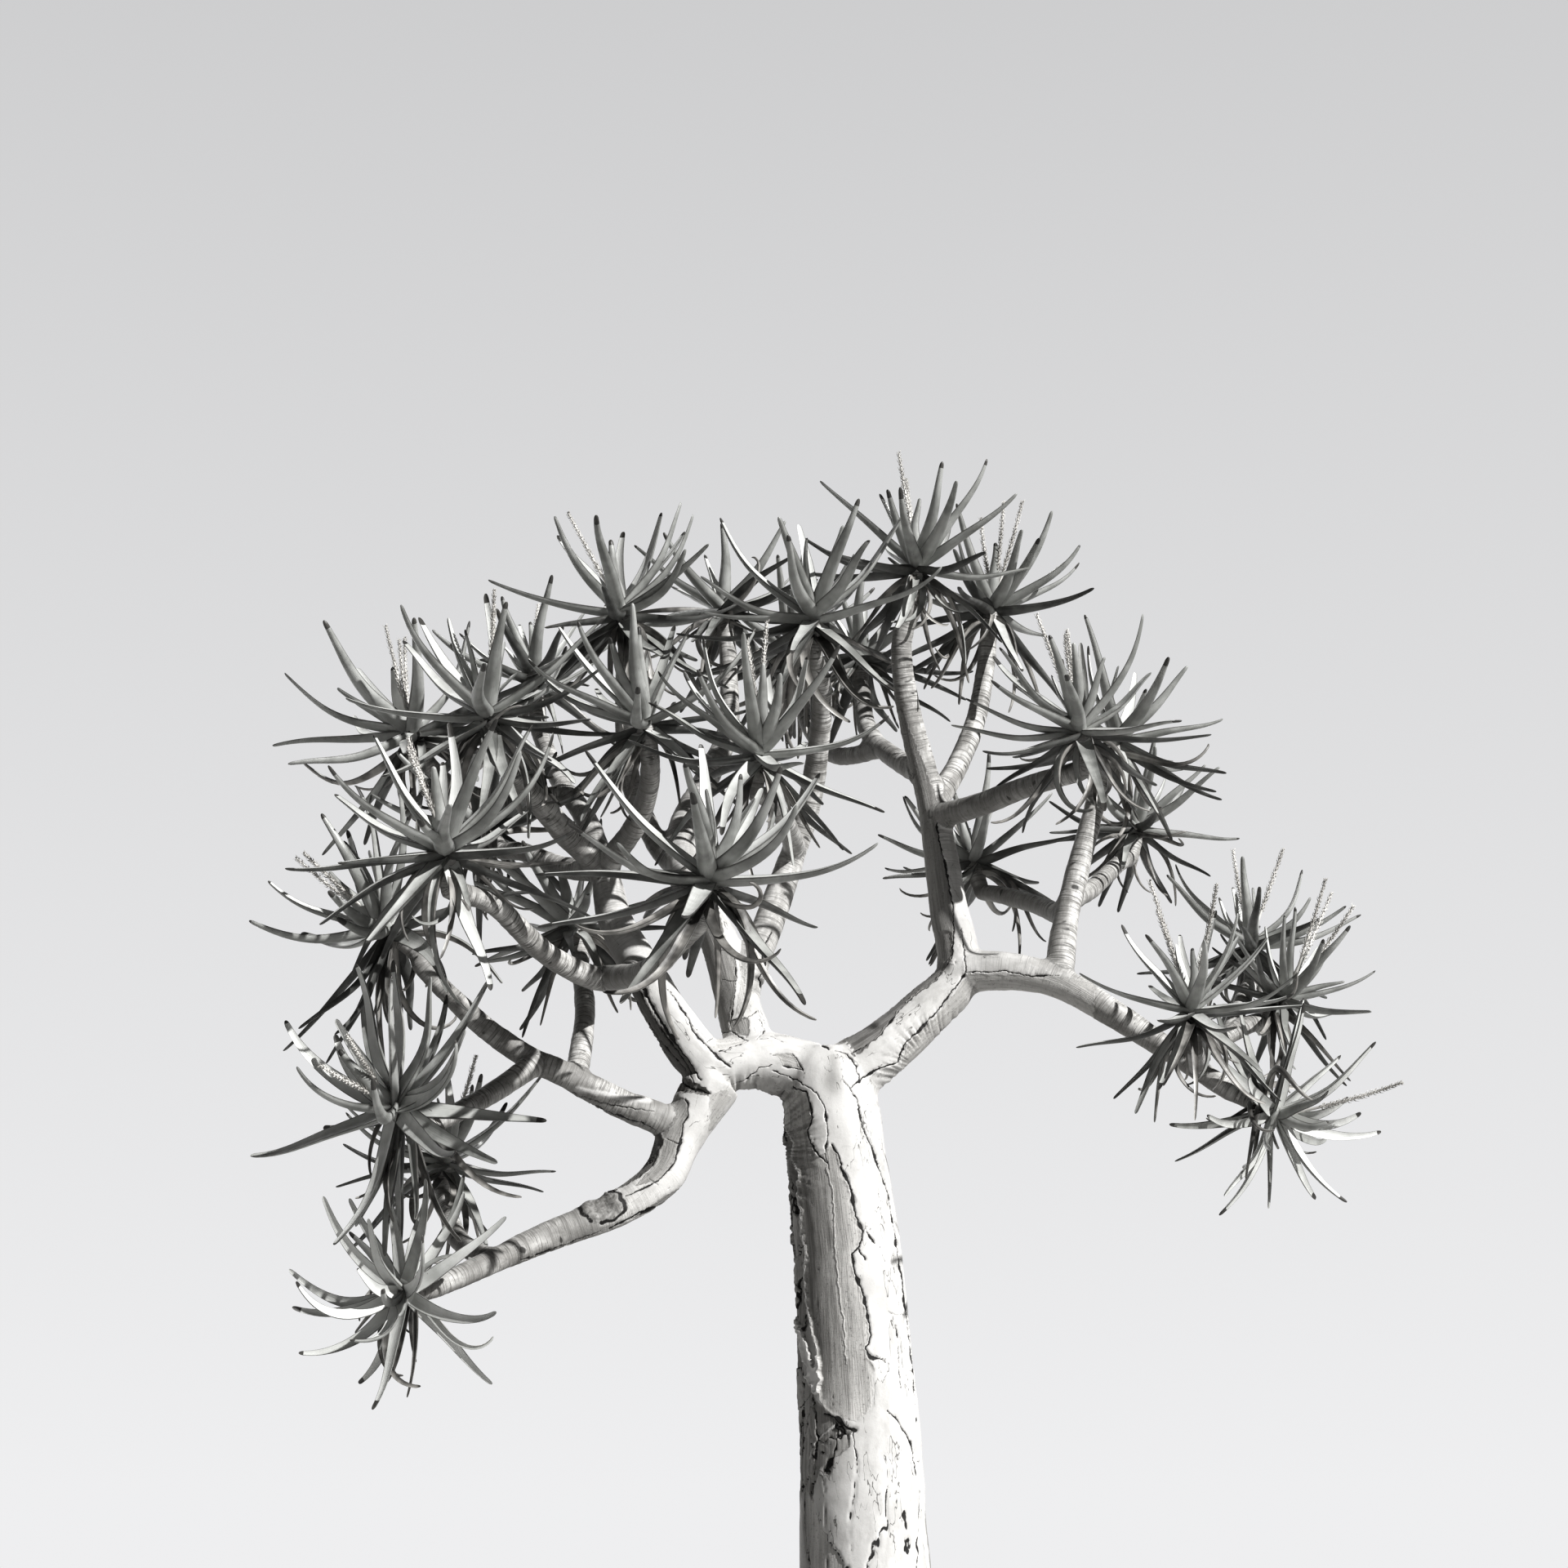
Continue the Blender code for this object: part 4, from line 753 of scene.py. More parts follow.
class Relief:
    """The height of the bark, and what its colours need to know, at each point of the wood."""

    def __init__(self, places, normals, wood):
        self.places, self.normals, self.wood = places, normals, wood
        count = len(places)
        self.height, self.grey, self.pale, self.stain_and_shade = np.zeros((4, count))
        self.crack, self.tone = np.full(count, 9.0), np.full(count, 0.5)
        shift = wood.limb * 7.31
        across, up = wood.radius * np.cos(wood.turn), wood.radius * np.sin(wood.turn)
        self.straight = np.stack([across + shift, up - shift, wood.along + shift * 0.37], axis=1)
        self.thick = smooth_step(wood.radius, 0.026, 0.05)
        self.grain = np.where(wood.fork[:, None] > 0.999, places, self.straight)
        self.pixels = in_photo(places)
        self.facing = facing_of(places, normals)
        # Painted shade and weathering: the side turned from the key light, with some noise
        away = normals @ np.array(WEAR_AND_SHADE_SIDE) + 0.3 * layered(places, 13, 3)
        self.wear_and_shade = smooth_step(away, 0.0, 0.75)
        # Limbs painted darker all round: wear and painted shade
        for limb, (share, start) in WORN_AND_SHADED_LIMBS.items():
            chosen = (wood.limb == LIMB_NUMBERS[limb]) & (wood.along > start)
            patchy = smooth_step(layered(places[chosen], 17, 3, 40), -0.45 + 0.2 * (1 - share), 0.3)
            raise_to(self.wear_and_shade, chosen, share * patchy)

    def add_lumps(self):
        """The wood's slow unevenness, and the rings and scars of its thinner parts."""
        thin = 1 - self.thick
        self.height += 3.2 * MM * layered(self.places, 9, 2) * (0.35 + 0.65 * self.thick)
        self.height += 1.3 * MM * noise(self.places, 31) * (0.5 + 0.5 * self.thick)
        rings = layered(self.straight, (5, 5, 62), 3, gain=0.6)
        self.height += 0.9 * MM * rings * thin * (1 - 0.7 * self.wood.fork)
        bands = smooth_step(layered(self.straight, (4, 4, 26), 2), 0.12, 0.3)
        self.height += 0.8 * MM * bands * thin

    def add_plates(self, free):
        """Plates of smooth bark with worn grey hollows between them, and cracks that run with the wood."""
        straight = self.straight
        field = layered(straight, (8.5, 8.5, 2.4), 2) + 0.16 * noise(straight, (38, 38, 17))
        field += 0.07 * noise(straight, (110, 110, 60))
        field -= 0.5 * (1 - free)
        hollow = smooth_step(field, 0.2, 0.24) * self.thick * (1 - 0.6 * self.wood.fork)
        self.height -= 3.2 * MM * hollow
        self.grey = np.maximum(self.grey, hollow * 0.95)
        self.tone = np.where(hollow > 0.1, 0.45 + 0.8 * noise(straight, (17, 17, 4.8), 11), self.tone)
        edge = np.abs(field - 0.21) / (0.015 * smooth_step(noise(straight, 7, 55), -0.25, 0.1) + 0.0005)
        lines = layered(straight, (10, 10, 2), 2, 40)
        lines += 0.1 * noise(straight, (60, 60, 30))
        sparse = smooth_step(noise(straight, (6, 6, 4), 90), -0.1, 0.12)
        line = np.abs(lines) / (0.012 * sparse * free + 0.0005)
        self.crack = np.minimum(self.crack, np.where(self.thick > 0.55, np.minimum(edge, line), 9.0))

    def add_wrinkles(self):
        """Folds that fan out where a limb leaves another, with painted shade in their hollows."""
        fork = self.wood.fork
        spread = fork * (1 - fork) * 4 * self.thick
        self.height += 1.5 * MM * noise(self.places, 52, 5) * spread
        for limbs, (u, v), low, high in FANS:
            chosen = self.front[self.wood.lies_on(limbs)[self.front]]
            rest = self.pixels[chosen] - np.array((u, v))
            distance = np.hypot(*rest.T)
            turn = np.arctan2(rest[:, 1], rest[:, 0])
            rays = noise(np.stack([turn * 22, distance * 0.018, np.full(len(turn), u)], axis=1))
            share = smooth_step(distance, low, low + 12) * (1 - smooth_step(distance, high - 30, high))
            self.height[chosen] += 5.0 * MM * rays * share
            # Painted shade in the folds' hollows
            raise_to(self.stain_and_shade, chosen, smooth_step(-rays, 0.04, 0.26) * share * 0.7)

    def wobble(self):
        """Swings the photograph's pixels a little where bark is drawn, so that drawn edges are ragged."""
        self.front = np.nonzero((self.facing > -0.3) & (np.abs(self.places[:, 1]) < DRAWN_DEPTH)
                                & (self.places[:, 2] > 0.3) & self.wood.lies_on(DRAWN_LIMBS))[0]
        slow, quick = (several(self.places[self.front], scale, (3.0, 77.0)) for scale in (80, 230))
        self.calm = self.pixels[self.front] + slow * 2.2 + quick * 1.1
        self.ragged = self.pixels[self.front] + slow * 3.4 + quick * 1.3

    def add_drawn_patches(self):
        sharp = nearest_line(self.ragged, [CRACKS[name][1] for name in SHARP_EDGES])
        # Past the outline that the photograph shows, the patches end raggedly
        turned = self.facing[self.front] + 0.12 * layered(self.places[self.front], 22, 3)
        behind = 40.0 * (1 - smooth_step(turned, -0.28, -0.1))
        for name, (limbs, tone, depth, soft, outline) in PATCHES.items():
            on_limbs = self.wood.lies_on(limbs)[self.front]
            chosen, pixels = self.front[on_limbs], self.ragged[on_limbs]
            inside = outline_depth(pixels, outline) - behind[on_limbs]
            share = smooth_step(inside, 0.0, soft)
            mask = smooth_step(inside, -0.5, max(0.8, 2.5 * (soft - 3.0)))
            if name == "panel":
                gentle = smooth_step(sharp[on_limbs], 5.0, 22.0) * smooth_step(pixels[:, 1], 1640, 1700)
                gentle *= smooth_step(pixels[:, 0], 1020, 1045)
                share = (1 - gentle) * share + gentle * smooth_step(inside, 0.0, 12.0)
                mask = (1 - gentle) * mask + gentle * smooth_step(inside, 0.0, 11.0)
                self.height[chosen] -= 3.5 * MM * smooth_step(inside, 0.0, 34.0)
                tone = self.panel_tone(pixels)
            self.height[chosen] -= depth * MM * share
            raise_to(self.grey, chosen, mask)
            self.tone[chosen] = np.where(mask > 0.02, tone, self.tone[chosen])
            if name in LAYERED_PATCHES:
                self.add_layers(chosen, LAYERED_PATCHES[name] * smooth_step(inside, 0.0, 3.0))

    def panel_tone(self, pixels):
        """Darkest along the panel's left border, paler past its middle line and towards both ends."""
        left, right = (np.interp(pixels[:, 1], *np.array(line).T[::-1])
                       for line in (RIDGES["panel_left"][2], CRACKS["panel_edge"][1]))
        tone = np.interp((pixels[:, 0] - left) / (right - left), PANEL_SHARES, PANEL_TONES)
        low_end = smooth_step(pixels[:, 1], 1640, 1745)
        high_end = 1 - smooth_step(pixels[:, 1], 1350, 1460)
        return tone + (1.0 - tone) * 0.45 * low_end + (0.5 - tone) * high_end

    def add_layers(self, chosen, share):
        """Torn flakes of bark at odd heights and slants, with dark gaps between them."""
        places = self.straight[chosen]
        swing = 0.3 * several(places, 60, (1.0, 31.0, 61.0))
        number, tilt, edge = flakes(places * np.array([19, 19, 8]) + swing)
        self.height[chosen] += ((number - 0.5) * 7.0 + tilt * 7) * MM * share
        gap = edge / (0.025 + 0.09 * np.maximum(0, noise(places, 30)))
        lower_to(self.crack, chosen, np.where(share > 0.3, gap, 9.0))
        self.tone[chosen] += 0.4 * (number - 0.45) * np.minimum(share, 1)

    def add_drawn_cracks(self):
        chosen = self.front
        blunt = 0.7 + 2.1 * smooth_step(noise(self.places[chosen], 36, 5), 0.02, 0.5)
        for half_width, line in CRACKS.values():
            distance, share = line_distance(self.calm, line)
            taper = 0.45 + 0.55 * np.sin(np.pi * np.clip(share, 0.03, 0.97)) ** 0.5
            lower_to(self.crack, chosen, distance * PIXEL / (CRACK_SHARE * half_width * MM * taper * blunt))
        for half_width, paleness, line in RIDGES.values():
            distance, _ = line_distance(self.calm, line)
            top = 1 - smooth_step(distance * PIXEL / (half_width * MM), 0.3, 1.6)
            self.height[chosen] += 1.6 * MM * top
            raise_to(self.pale, chosen, paleness * top)
        self.add_flap()
        self.add_dent_and_knot()

    def add_flap(self):
        """The bark curled outwards at the panel's lower left."""
        chosen, inside = self.front, outline_depth(self.ragged, FLAP)
        flap = smooth_step(inside, -0.5, 1.5)
        self.height[chosen] += (9 * flap - 5 * smooth_step(inside, 0.0, 5.0)) * MM
        raise_to(self.pale, chosen, flap)
        self.stain_and_shade[chosen] = np.where(flap > 0.5, 0.0, self.stain_and_shade[chosen])
        self.crack[chosen] = np.where(flap > 0.5, 9.0, self.crack[chosen])

    def add_dent_and_knot(self):
        """The dent at the fork with painted shade in it, and the torn round scar on the low left bough."""
        chosen, places = self.front, self.places[self.front]
        middle, size = DENT
        dent = np.exp(-((self.pixels[chosen] - middle) ** 2 / np.array(size) ** 2).sum(1))
        self.height[chosen] -= 4.0 * MM * dent
        # Painted shade in the dent
        raise_to(self.stain_and_shade, chosen, 0.45 * dent)
        middle, size = KNOT
        far = np.hypot(*((self.pixels[chosen] - middle) / np.array(size)).T) + 0.25 * noise(places, 60)
        rim, hole = np.exp(-((far - 0.85) / 0.3) ** 2), np.exp(-(far / 0.45) ** 2)
        torn = noise(places, 190)
        self.height[chosen] += (6.0 * rim - 6.0 * hole) * MM
        self.height[chosen] += 3.0 * MM * torn * (far < 1)
        lower_to(self.crack, chosen, np.abs(far - 0.98) / 0.1 + 9 * (noise(places, 45, 9) > 0.25))
        raise_to(self.stain_and_shade, chosen, (1 - smooth_step(far, 0.8, 1.0)) * (0.72 + 0.9 * torn))

    def open_cracks(self):
        self.height -= 3.2 * MM * (1 - smooth_step(self.crack, 0.3, 2.4))


def beyond_boxes(pixels, places):
    """How many pixels each place lies outside the drawn boxes, or a long way for all that is far off them."""
    beyond = np.full(len(pixels), 1e3)
    for left, top, right, bottom in DRAWN_BOXES:
        gaps = np.maximum((left, top) - pixels, pixels - (right, bottom)).max(1)
        beyond = np.minimum(beyond, np.maximum(gaps, 0))
    return np.where(np.abs(places[:, 1]) < DRAWN_DEPTH, beyond, 1e3)


def facing_of(places, normals):
    view = places - np.array(CAMERA_PLACE)
    view /= np.linalg.norm(view, axis=1)[:, None]
    return -(normals * view).sum(1)


def refined(mesh):
    """Cuts the faces round the drawn bark's lines and borders in four, and those on its cracks once more."""
    cracks = [line for *_, line in (*CRACKS.values(), *RIDGES.values())]
    borders = [[*outline, outline[0]] for *_, outline in PATCHES.values()]
    torn = [PATCHES[name][-1] for name in LAYERED_PATCHES]
    for reach, lines, whole in ((7.0, [*cracks, *borders, FLAP], torn), (2.6, [*cracks, FLAP], [])):
        places = places_of(mesh)
        pixels = in_photo(places)
        chosen = (beyond_boxes(pixels, places) == 0) & (facing_of(places, normals_of(mesh)) > -0.3)
        near = np.nonzero(chosen)[0]
        chosen[near] = nearest_line(pixels[near], lines) < reach
        for outline in whole:
            chosen[near] |= outline_depth(pixels[near], outline) > 0
        with editing(mesh) as shape:
            shape.edges.ensure_lookup_table()
            edges = [shape.edges[index] for index in np.nonzero(chosen[edges_of(mesh)].all(1))[0]]
            bmesh.ops.subdivide_edges(shape, edges=edges, cuts=1, use_grid_fill=True)
    return mesh


def build_wood(materials):
    lists = MeshLists()
    add_trunk(lists)
    for limb in LIMBS:
        add_limb(lists, limb)
    mesh = refined(remeshed(lists.mesh("wood_source"), WOOD_VOXEL))
    edges = edges_of(mesh)
    places = smoothed(places_of(mesh), edges, 3, 0.5)
    wood = Wood(places)
    rounder = smoothed(places, edges, 24, 0.5)
    ground = smooth_step(places[:, 2], 0.0, 0.03)
    places = places + (rounder - places) * (wood.fork * ground)[:, None]
    set_places(mesh, places)
    relief = Relief(places, normals_of(mesh), wood)
    free = np.maximum(np.minimum(beyond_boxes(relief.pixels, places) / BOX_FADE, 1),
                      1 - smooth_step(relief.facing, -0.5, -0.1))
    relief.wobble()
    relief.add_lumps()
    relief.add_plates(free)
    relief.add_wrinkles()
    relief.add_drawn_patches()
    relief.add_drawn_cracks()
    relief.open_cracks()
    keep = smooth_step(places[:, 2], 0.0, 0.02)
    moved = places + relief.normals * (relief.height * keep)[:, None]
    moved[:, 2] = np.maximum(moved[:, 2], 0.0)
    set_places(mesh, moved)
    fields = {name: np.minimum(getattr(relief, name), 9) for name in FIELDS}
    split_wood(mesh, wood, {**fields, "grain": relief.grain}, materials)


# What the bark's material reads from the mesh
FIELDS = ("grey", "tone", "crack", "pale", "stain_and_shade", "thick", "wear_and_shade")
# The trunk's skin below this height is a piece of its own
FOOT_HEIGHT = 0.95
# The thinner limbs are two pieces: those that start left of this line, and the others
LEFT_OF = -0.3
WOOD_PIECES = {
    "trunk_bark_relief": ("trunk",),
    "trunk_foot_bark_relief": (),
    "left_boughs_bark_relief": ("bough_left", "bough_low_left"),
    "centre_boughs_bark_relief": ("bough_centre", "bough_centre_right"),
    "right_boughs_bark_relief": ("bough_right", "bough_far_right"),
}


def split_wood(mesh, wood, fields, materials):
    """Cuts the wood's skin into pieces by limb, all with the normals of the whole."""
    groups = dict(WOOD_PIECES)
    taken = {name for names in groups.values() for name in names}
    rest = {name: points[0][0] for name, points, _, _ in LIMBS if name not in taken}
    groups["left_branches_bark_relief"] = tuple(name for name in rest if rest[name] < LEFT_OF)
    groups["right_branches_bark_relief"] = tuple(name for name in rest if rest[name] >= LEFT_OF)
    places, normals = places_of(mesh), normals_of(mesh)
    corners = read(mesh.loops, "vertex_index", kind=np.int64)
    starts = read(mesh.polygons, "loop_start", kind=np.int64)
    sizes = np.diff(starts, append=len(corners))
    low = places[corners[starts], 2] < FOOT_HEIGHT
    for name, limbs in groups.items():
        chosen = wood.lies_on(limbs or ("trunk",))[corners[starts]]
        if name.startswith("trunk"):
            chosen &= low == (name == "trunk_foot_bark_relief")
        kept, new_corners = np.unique(corners[np.repeat(chosen, sizes)], return_inverse=True)
        piece = bpy.data.meshes.new(name)
        piece.vertices.add(len(kept))
        piece.vertices.foreach_set("co", places[kept].ravel())
        piece.loops.add(len(new_corners))
        piece.loops.foreach_set("vertex_index", new_corners.astype(np.int32).ravel())
        piece.polygons.add(int(chosen.sum()))
        piece.polygons.foreach_set("loop_start", (np.cumsum(sizes[chosen]) - sizes[chosen]).astype(np.int32))
        piece.update(calc_edges=True)
        for field, values in fields.items():
            add_field(piece, field, values[kept])
        piece.shade_smooth()
        piece.normals_split_custom_set_from_vertices(normals[kept])
        slot = "branch_bark" if name.endswith("branches_bark_relief") else "trunk_bark"
        new_piece(name, piece, materials[slot], limbs)


# Materials

class Shader:
    """Short ways to add nodes to a new material."""

    def __init__(self, name, roughness):
        self.material = bpy.data.materials.new(name)
        self.material.use_nodes = True
        self.tree = self.material.node_tree
        self.surface = self.tree.nodes["Principled BSDF"]
        self.surface.inputs["Roughness"].default_value = roughness
        self.places = self.tree.nodes.new("ShaderNodeTexCoord").outputs["Object"]

    def node(self, kind, inputs, **settings):
        """A node with its settings, and a value or another node's output for each of its inputs."""
        made = self.tree.nodes.new("ShaderNode" + kind)
        for name, value in settings.items():
            setattr(made, name, value)
        for name, value in inputs.items():
            self.put(made.inputs[name], value)
        return made.outputs

    def put(self, socket, value):
        if isinstance(value, bpy.types.NodeSocket):
            self.tree.links.new(value, socket)
        else:
            socket.default_value = value

    def attribute(self, name, vector=False):
        return self.node("Attribute", {}, attribute_name=name)["Vector" if vector else "Fac"]

    def noise(self, vector, scale, detail=3.0, roughness=0.5):
        """Noise with one scale, or with one along each axis."""
        if isinstance(scale, tuple):
            vector = self.node("VectorMath", {0: vector, 1: scale}, operation="MULTIPLY")[0]
            scale = 1.0
        inputs = {"Vector": vector, "Scale": scale, "Detail": detail, "Roughness": roughness}
        return self.node("TexNoise", inputs)["Fac"]

    def ramp(self, value, low, high, start=0.0, end=1.0):
        inputs = {"Value": value, "From Min": low, "From Max": high, "To Min": start, "To Max": end}
        return self.node("MapRange", inputs, interpolation_type="SMOOTHSTEP")["Result"]

    def math(self, operation, first, second):
        return self.node("Math", {0: first, 1: second}, operation=operation)[0]

    def times(self, first, second):
        return self.math("MULTIPLY", first, second)

    def plus(self, first, second):
        return self.math("ADD", first, second)

    def mix(self, share, first, second):
        first, second = ((*value, 1) if isinstance(value, tuple) else value for value in (first, second))
        return self.node("Mix", {"Factor": share, 6: first, 7: second}, data_type="RGBA")[2]

    def cover(self, base, layers):
        """Lays each layer's colour over the base, as far as its noise passes a threshold."""
        for noise, low, high, most, colour in layers:
            base = self.mix(self.ramp(noise, low, high, 0.0, most), base, colour)
        return base

    def finish(self, colour, height, distance):
        self.put(self.surface.inputs["Base Color"], colour)
        bump = self.node("Bump", {"Strength": 1.0, "Distance": distance, "Height": height})
        self.put(self.surface.inputs["Normal"], bump["Normal"])
        return self.material


PLATE_LIGHT, PLATE_DULL = (0.545, 0.538, 0.525), (0.4, 0.393, 0.38)
BRANCH_LIGHT, BRANCH_DULL = (0.58, 0.572, 0.555), (0.28, 0.273, 0.261)
BAND_COLOUR = (0.21, 0.204, 0.193)
# The dark grey of worn bark, which also stands for painted shade on the side turned from the key light
RING_COLOUR, WEAR_AND_SHADE_COLOUR = (0.09, 0.087, 0.081), (0.18, 0.175, 0.166)
HOLLOW_LIGHT, HOLLOW_DARK = (0.6, 0.59, 0.571), (0.13, 0.126, 0.119)
# The near-black of cracks: partly their own dark inner bark, partly painted shade in the gaps
CRACK_AND_SHADE_COLOUR = (0.012, 0.011, 0.01)
SPOT_COLOUR = (0.06, 0.058, 0.054)


def bark_material(name, roughness):
    """Smooth pale bark with grey fibrous hollows, dark cracks, rings and scars, by the mesh's own fields,
    with painted shade on the side turned from the key light, on shaded limbs, in fold hollows and in cracks.
    """
    shader = Shader(name, roughness)
    mix, cover, ramp, times, plus = shader.mix, shader.cover, shader.ramp, shader.times, shader.plus
    grain, thick = shader.attribute("grain", vector=True), shader.attribute("thick")
    wear_and_shade, thin = shader.attribute("wear_and_shade"), shader.math("SUBTRACT", 1.0, thick)
    fine = shader.noise(shader.places, 420, 2)
    speck = shader.noise(shader.places, 170, 4, 0.7)
    cloud = shader.noise(shader.places, 11, 4, 0.6)
    mottle = shader.noise(grain, (30, 30, 13), 5, 0.65)
    bands = shader.noise(grain, (90, 90, 4), 3, 0.6)
    fibres = shader.noise(grain, (380, 380, 9), 4, 0.65)
    weave = shader.noise(grain, (60, 60, 520), 2)
    rings = shader.noise(grain, (7, 7, 105), 4, 0.62)
    fine_rings = shader.noise(grain, (15, 15, 330), 3, 0.6)
    dashes = shader.noise(grain, (50, 50, 330), 2)
    hairs = shader.noise(grain, (17, 17, 5), 4, 0.55)
    dots = shader.noise(grain, (26, 26, 55), 1)

    def swing(noise, strength):
        return times(shader.math("SUBTRACT", noise, 0.5), strength)

    def swung(name, noise, strength):
        return plus(shader.attribute(name), swing(noise, strength))

    plate = cover(PLATE_LIGHT, [(cloud, 0.44, 0.68, 0.55, PLATE_DULL), (mottle, 0.5, 0.7, 0.6, PLATE_DULL),
                                (bands, 0.58, 0.75, 0.3, PLATE_DULL)])
    branch = cover(BRANCH_LIGHT, [
        (mottle, 0.36, 0.62, 1.0, BRANCH_DULL), (rings, 0.5, 0.62, 0.75, BAND_COLOUR),
        (fine_rings, 0.54, 0.62, 0.85, RING_COLOUR), (dashes, 0.66, 0.72, 0.8, SPOT_COLOUR)])
    # Painted shade and wear: darker grey on the side turned from the key light and on shaded limbs
    plate = mix(times(wear_and_shade, 0.62), plate, WEAR_AND_SHADE_COLOUR)
    branch = mix(times(wear_and_shade, 0.8), branch, WEAR_AND_SHADE_COLOUR)
    speckled = times(ramp(mottle, 0.56, 0.66), ramp(speck, 0.5, 0.6))
    branch = mix(times(speckled, wear_and_shade), branch, SPOT_COLOUR)
    plate = mix(thin, plate, branch)
    hair = shader.math("ABSOLUTE", shader.math("SUBTRACT", hairs, 0.5), 0.0)
    hair = times(ramp(hair, 0.0015, 0.006, 0.9, 0.0), ramp(mottle, 0.46, 0.54))
    plate = mix(times(hair, thick), plate, RING_COLOUR)
    plate = cover(plate, [(speck, 0.6, 0.76, 0.45, PLATE_DULL)])
    spots = times(ramp(dots, 0.7, 0.78), ramp(thick, 0.1, 0.9, 1.0, 0.1))
    plate = mix(spots, plate, SPOT_COLOUR)
    hollow = mix(plus(swung("tone", fibres, 0.55), swing(bands, 0.8)), HOLLOW_DARK, HOLLOW_LIGHT)
    hollow = cover(hollow, [(weave, 0.55, 0.72, 0.16, HOLLOW_DARK), (speck, 0.56, 0.7, 0.7, HOLLOW_DARK)])
    base = mix(ramp(swung("grey", fine, 0.35), 0.2, 0.8), plate, hollow)
    # Stains, and painted shade in the folds' hollows and the dent
    base = mix(shader.attribute("stain_and_shade"), base, HOLLOW_DARK)
    base = mix(shader.attribute("pale"), base, PLATE_LIGHT)
    # Cracks darkened to near black, partly painted shade
    base = mix(ramp(swung("crack", fine, 0.5), 0.75, 1.35, 1.0, 0.0), base, CRACK_AND_SHADE_COLOUR)
    grey = ramp(shader.attribute("grey"), 0.3, 0.62)
    shader.put(shader.surface.inputs["Roughness"], ramp(grey, 0.0, 1.0, roughness, 0.9))
    fibre_height = times(plus(fibres, times(weave, 0.15)), grey)
    ring_height = times(plus(rings, times(fine_rings, 0.6)), thin)
    height = plus(plus(fibre_height, ring_height), times(speck, 0.3))
    return shader.finish(base, height, 0.0018)


LEAF_COLOURS = {
    "leaf_young": ((0.67, 0.674, 0.657), (0.54, 0.544, 0.527)),
    "leaf_grey_green": ((0.61, 0.614, 0.597), (0.43, 0.434, 0.418)),
    "leaf_old": ((0.43, 0.434, 0.417), (0.2, 0.203, 0.193)),
    # The lower skins are darker than the upper ones: painted shade
    "leaf_shaded_underside": ((0.4, 0.404, 0.39), (0.22, 0.223, 0.212)),
    "leaf_shaded_underside_old": ((0.15, 0.152, 0.145), (0.045, 0.046, 0.043)),
    "leaf_dry": ((0.38, 0.368, 0.348), (0.055, 0.053, 0.049)),
    "leaf_tip": ((0.09, 0.087, 0.081), (0.03, 0.029, 0.027)),
    "leaf_base": ((0.68, 0.683, 0.668), (0.55, 0.553, 0.538)),
    "stalk_dry": ((0.74, 0.725, 0.697), (0.4, 0.388, 0.367)),
}
MARGIN_COLOUR = (0.06, 0.058, 0.053)


def leaf_material(name, roughness):
    """A waxy skin with a faint bloom, small blemishes and fine lengthwise lines."""
    light, dull = LEAF_COLOURS[name]
    shader = Shader(name, roughness)
    bloom = shader.noise(shader.places, 11, 3, 0.6)
    lines = shader.noise(shader.attribute("blade", vector=True), (900, 900, 16), 3)
    speck = shader.noise(shader.places, 120, 3, 0.6)
    colour = shader.mix(shader.ramp(bloom, 0.35, 0.65), light, dull)
    blemish = tuple(part * 0.4 for part in dull)
    colour = shader.cover(colour, [(lines, 0.5, 0.7, 0.3, dull), (speck, 0.7, 0.76, 0.75, blemish)])
    margin = shader.plus(shader.attribute("margin"), shader.times(speck, 0.08))
    colour = shader.cover(colour, [(margin, 0.9, 1.02, 0.85, MARGIN_COLOUR)])
    gloss = shader.ramp(bloom, 0.3, 0.7, roughness - 0.06, roughness + 0.1)
    shader.put(shader.surface.inputs["Roughness"], gloss)
    return shader.finish(colour, shader.plus(lines, shader.times(speck, 0.6)), 0.0006)


# Leaves, by the rule of the part's source

MOST_ROOM = 0.2


class Space:
    """Points along all that has grown so far, each with the room that it takes and the name of its owner."""

    def __init__(self):
        self.points, self.rooms, self.owners = [], [], []

    def add(self, points, rooms, owner):
        self.points.extend(tuple(point) for point in points)
        self.rooms.extend(rooms)
        self.owners.extend([owner] * len(points))

    def pick(self, keep, centre, reach):
        """The chosen owners' points that anything within reach of the centre could touch."""
        keep = np.array([keep(owner) for owner in self.owners])
        points, rooms = np.array(self.points)[keep], np.array(self.rooms)[keep]
        near = ((points - np.array(centre)) ** 2).sum(1) < (reach + MOST_ROOM) ** 2
        return points[near], rooms[near]

    def around(self, rosette):
        """What a rosette's leaves have to miss: all but itself and its limb, and that limb."""
        name, limb, where = rosette["name"], rosette["limb"], (rosette["base"], rosette["longest"])
        return (self.pick(lambda owner: owner not in (name, limb), *where),
                self.pick(lambda owner: owner == limb, *where))


def is_free(points, rooms, others):
    other_points, other_rooms = others
    distance = np.sqrt(((np.array(points)[:, None] - other_points[None]) ** 2).sum(-1))
    return bool((distance > np.array(rooms)[:, None] + other_rooms[None]).all())


def leaf_half_width(share, length):
    clasp = LEAF_ROOT_WIDTH + (1 - LEAF_ROOT_WIDTH) * min(1.0, share / LEAF_WIDEST)
    return 0.5 * LEAF_WIDTH_SHARE * length * clasp * max(0.0, 1 - share) ** LEAF_TAPER_POWER


def rooms_along(length, share=1.0, more=LEAF_ROOM):
    """The room that a leaf takes at each step along it."""
    return [leaf_half_width(step / LEAF_STEPS, length) * share + more for step in range(LEAF_STEPS + 1)]


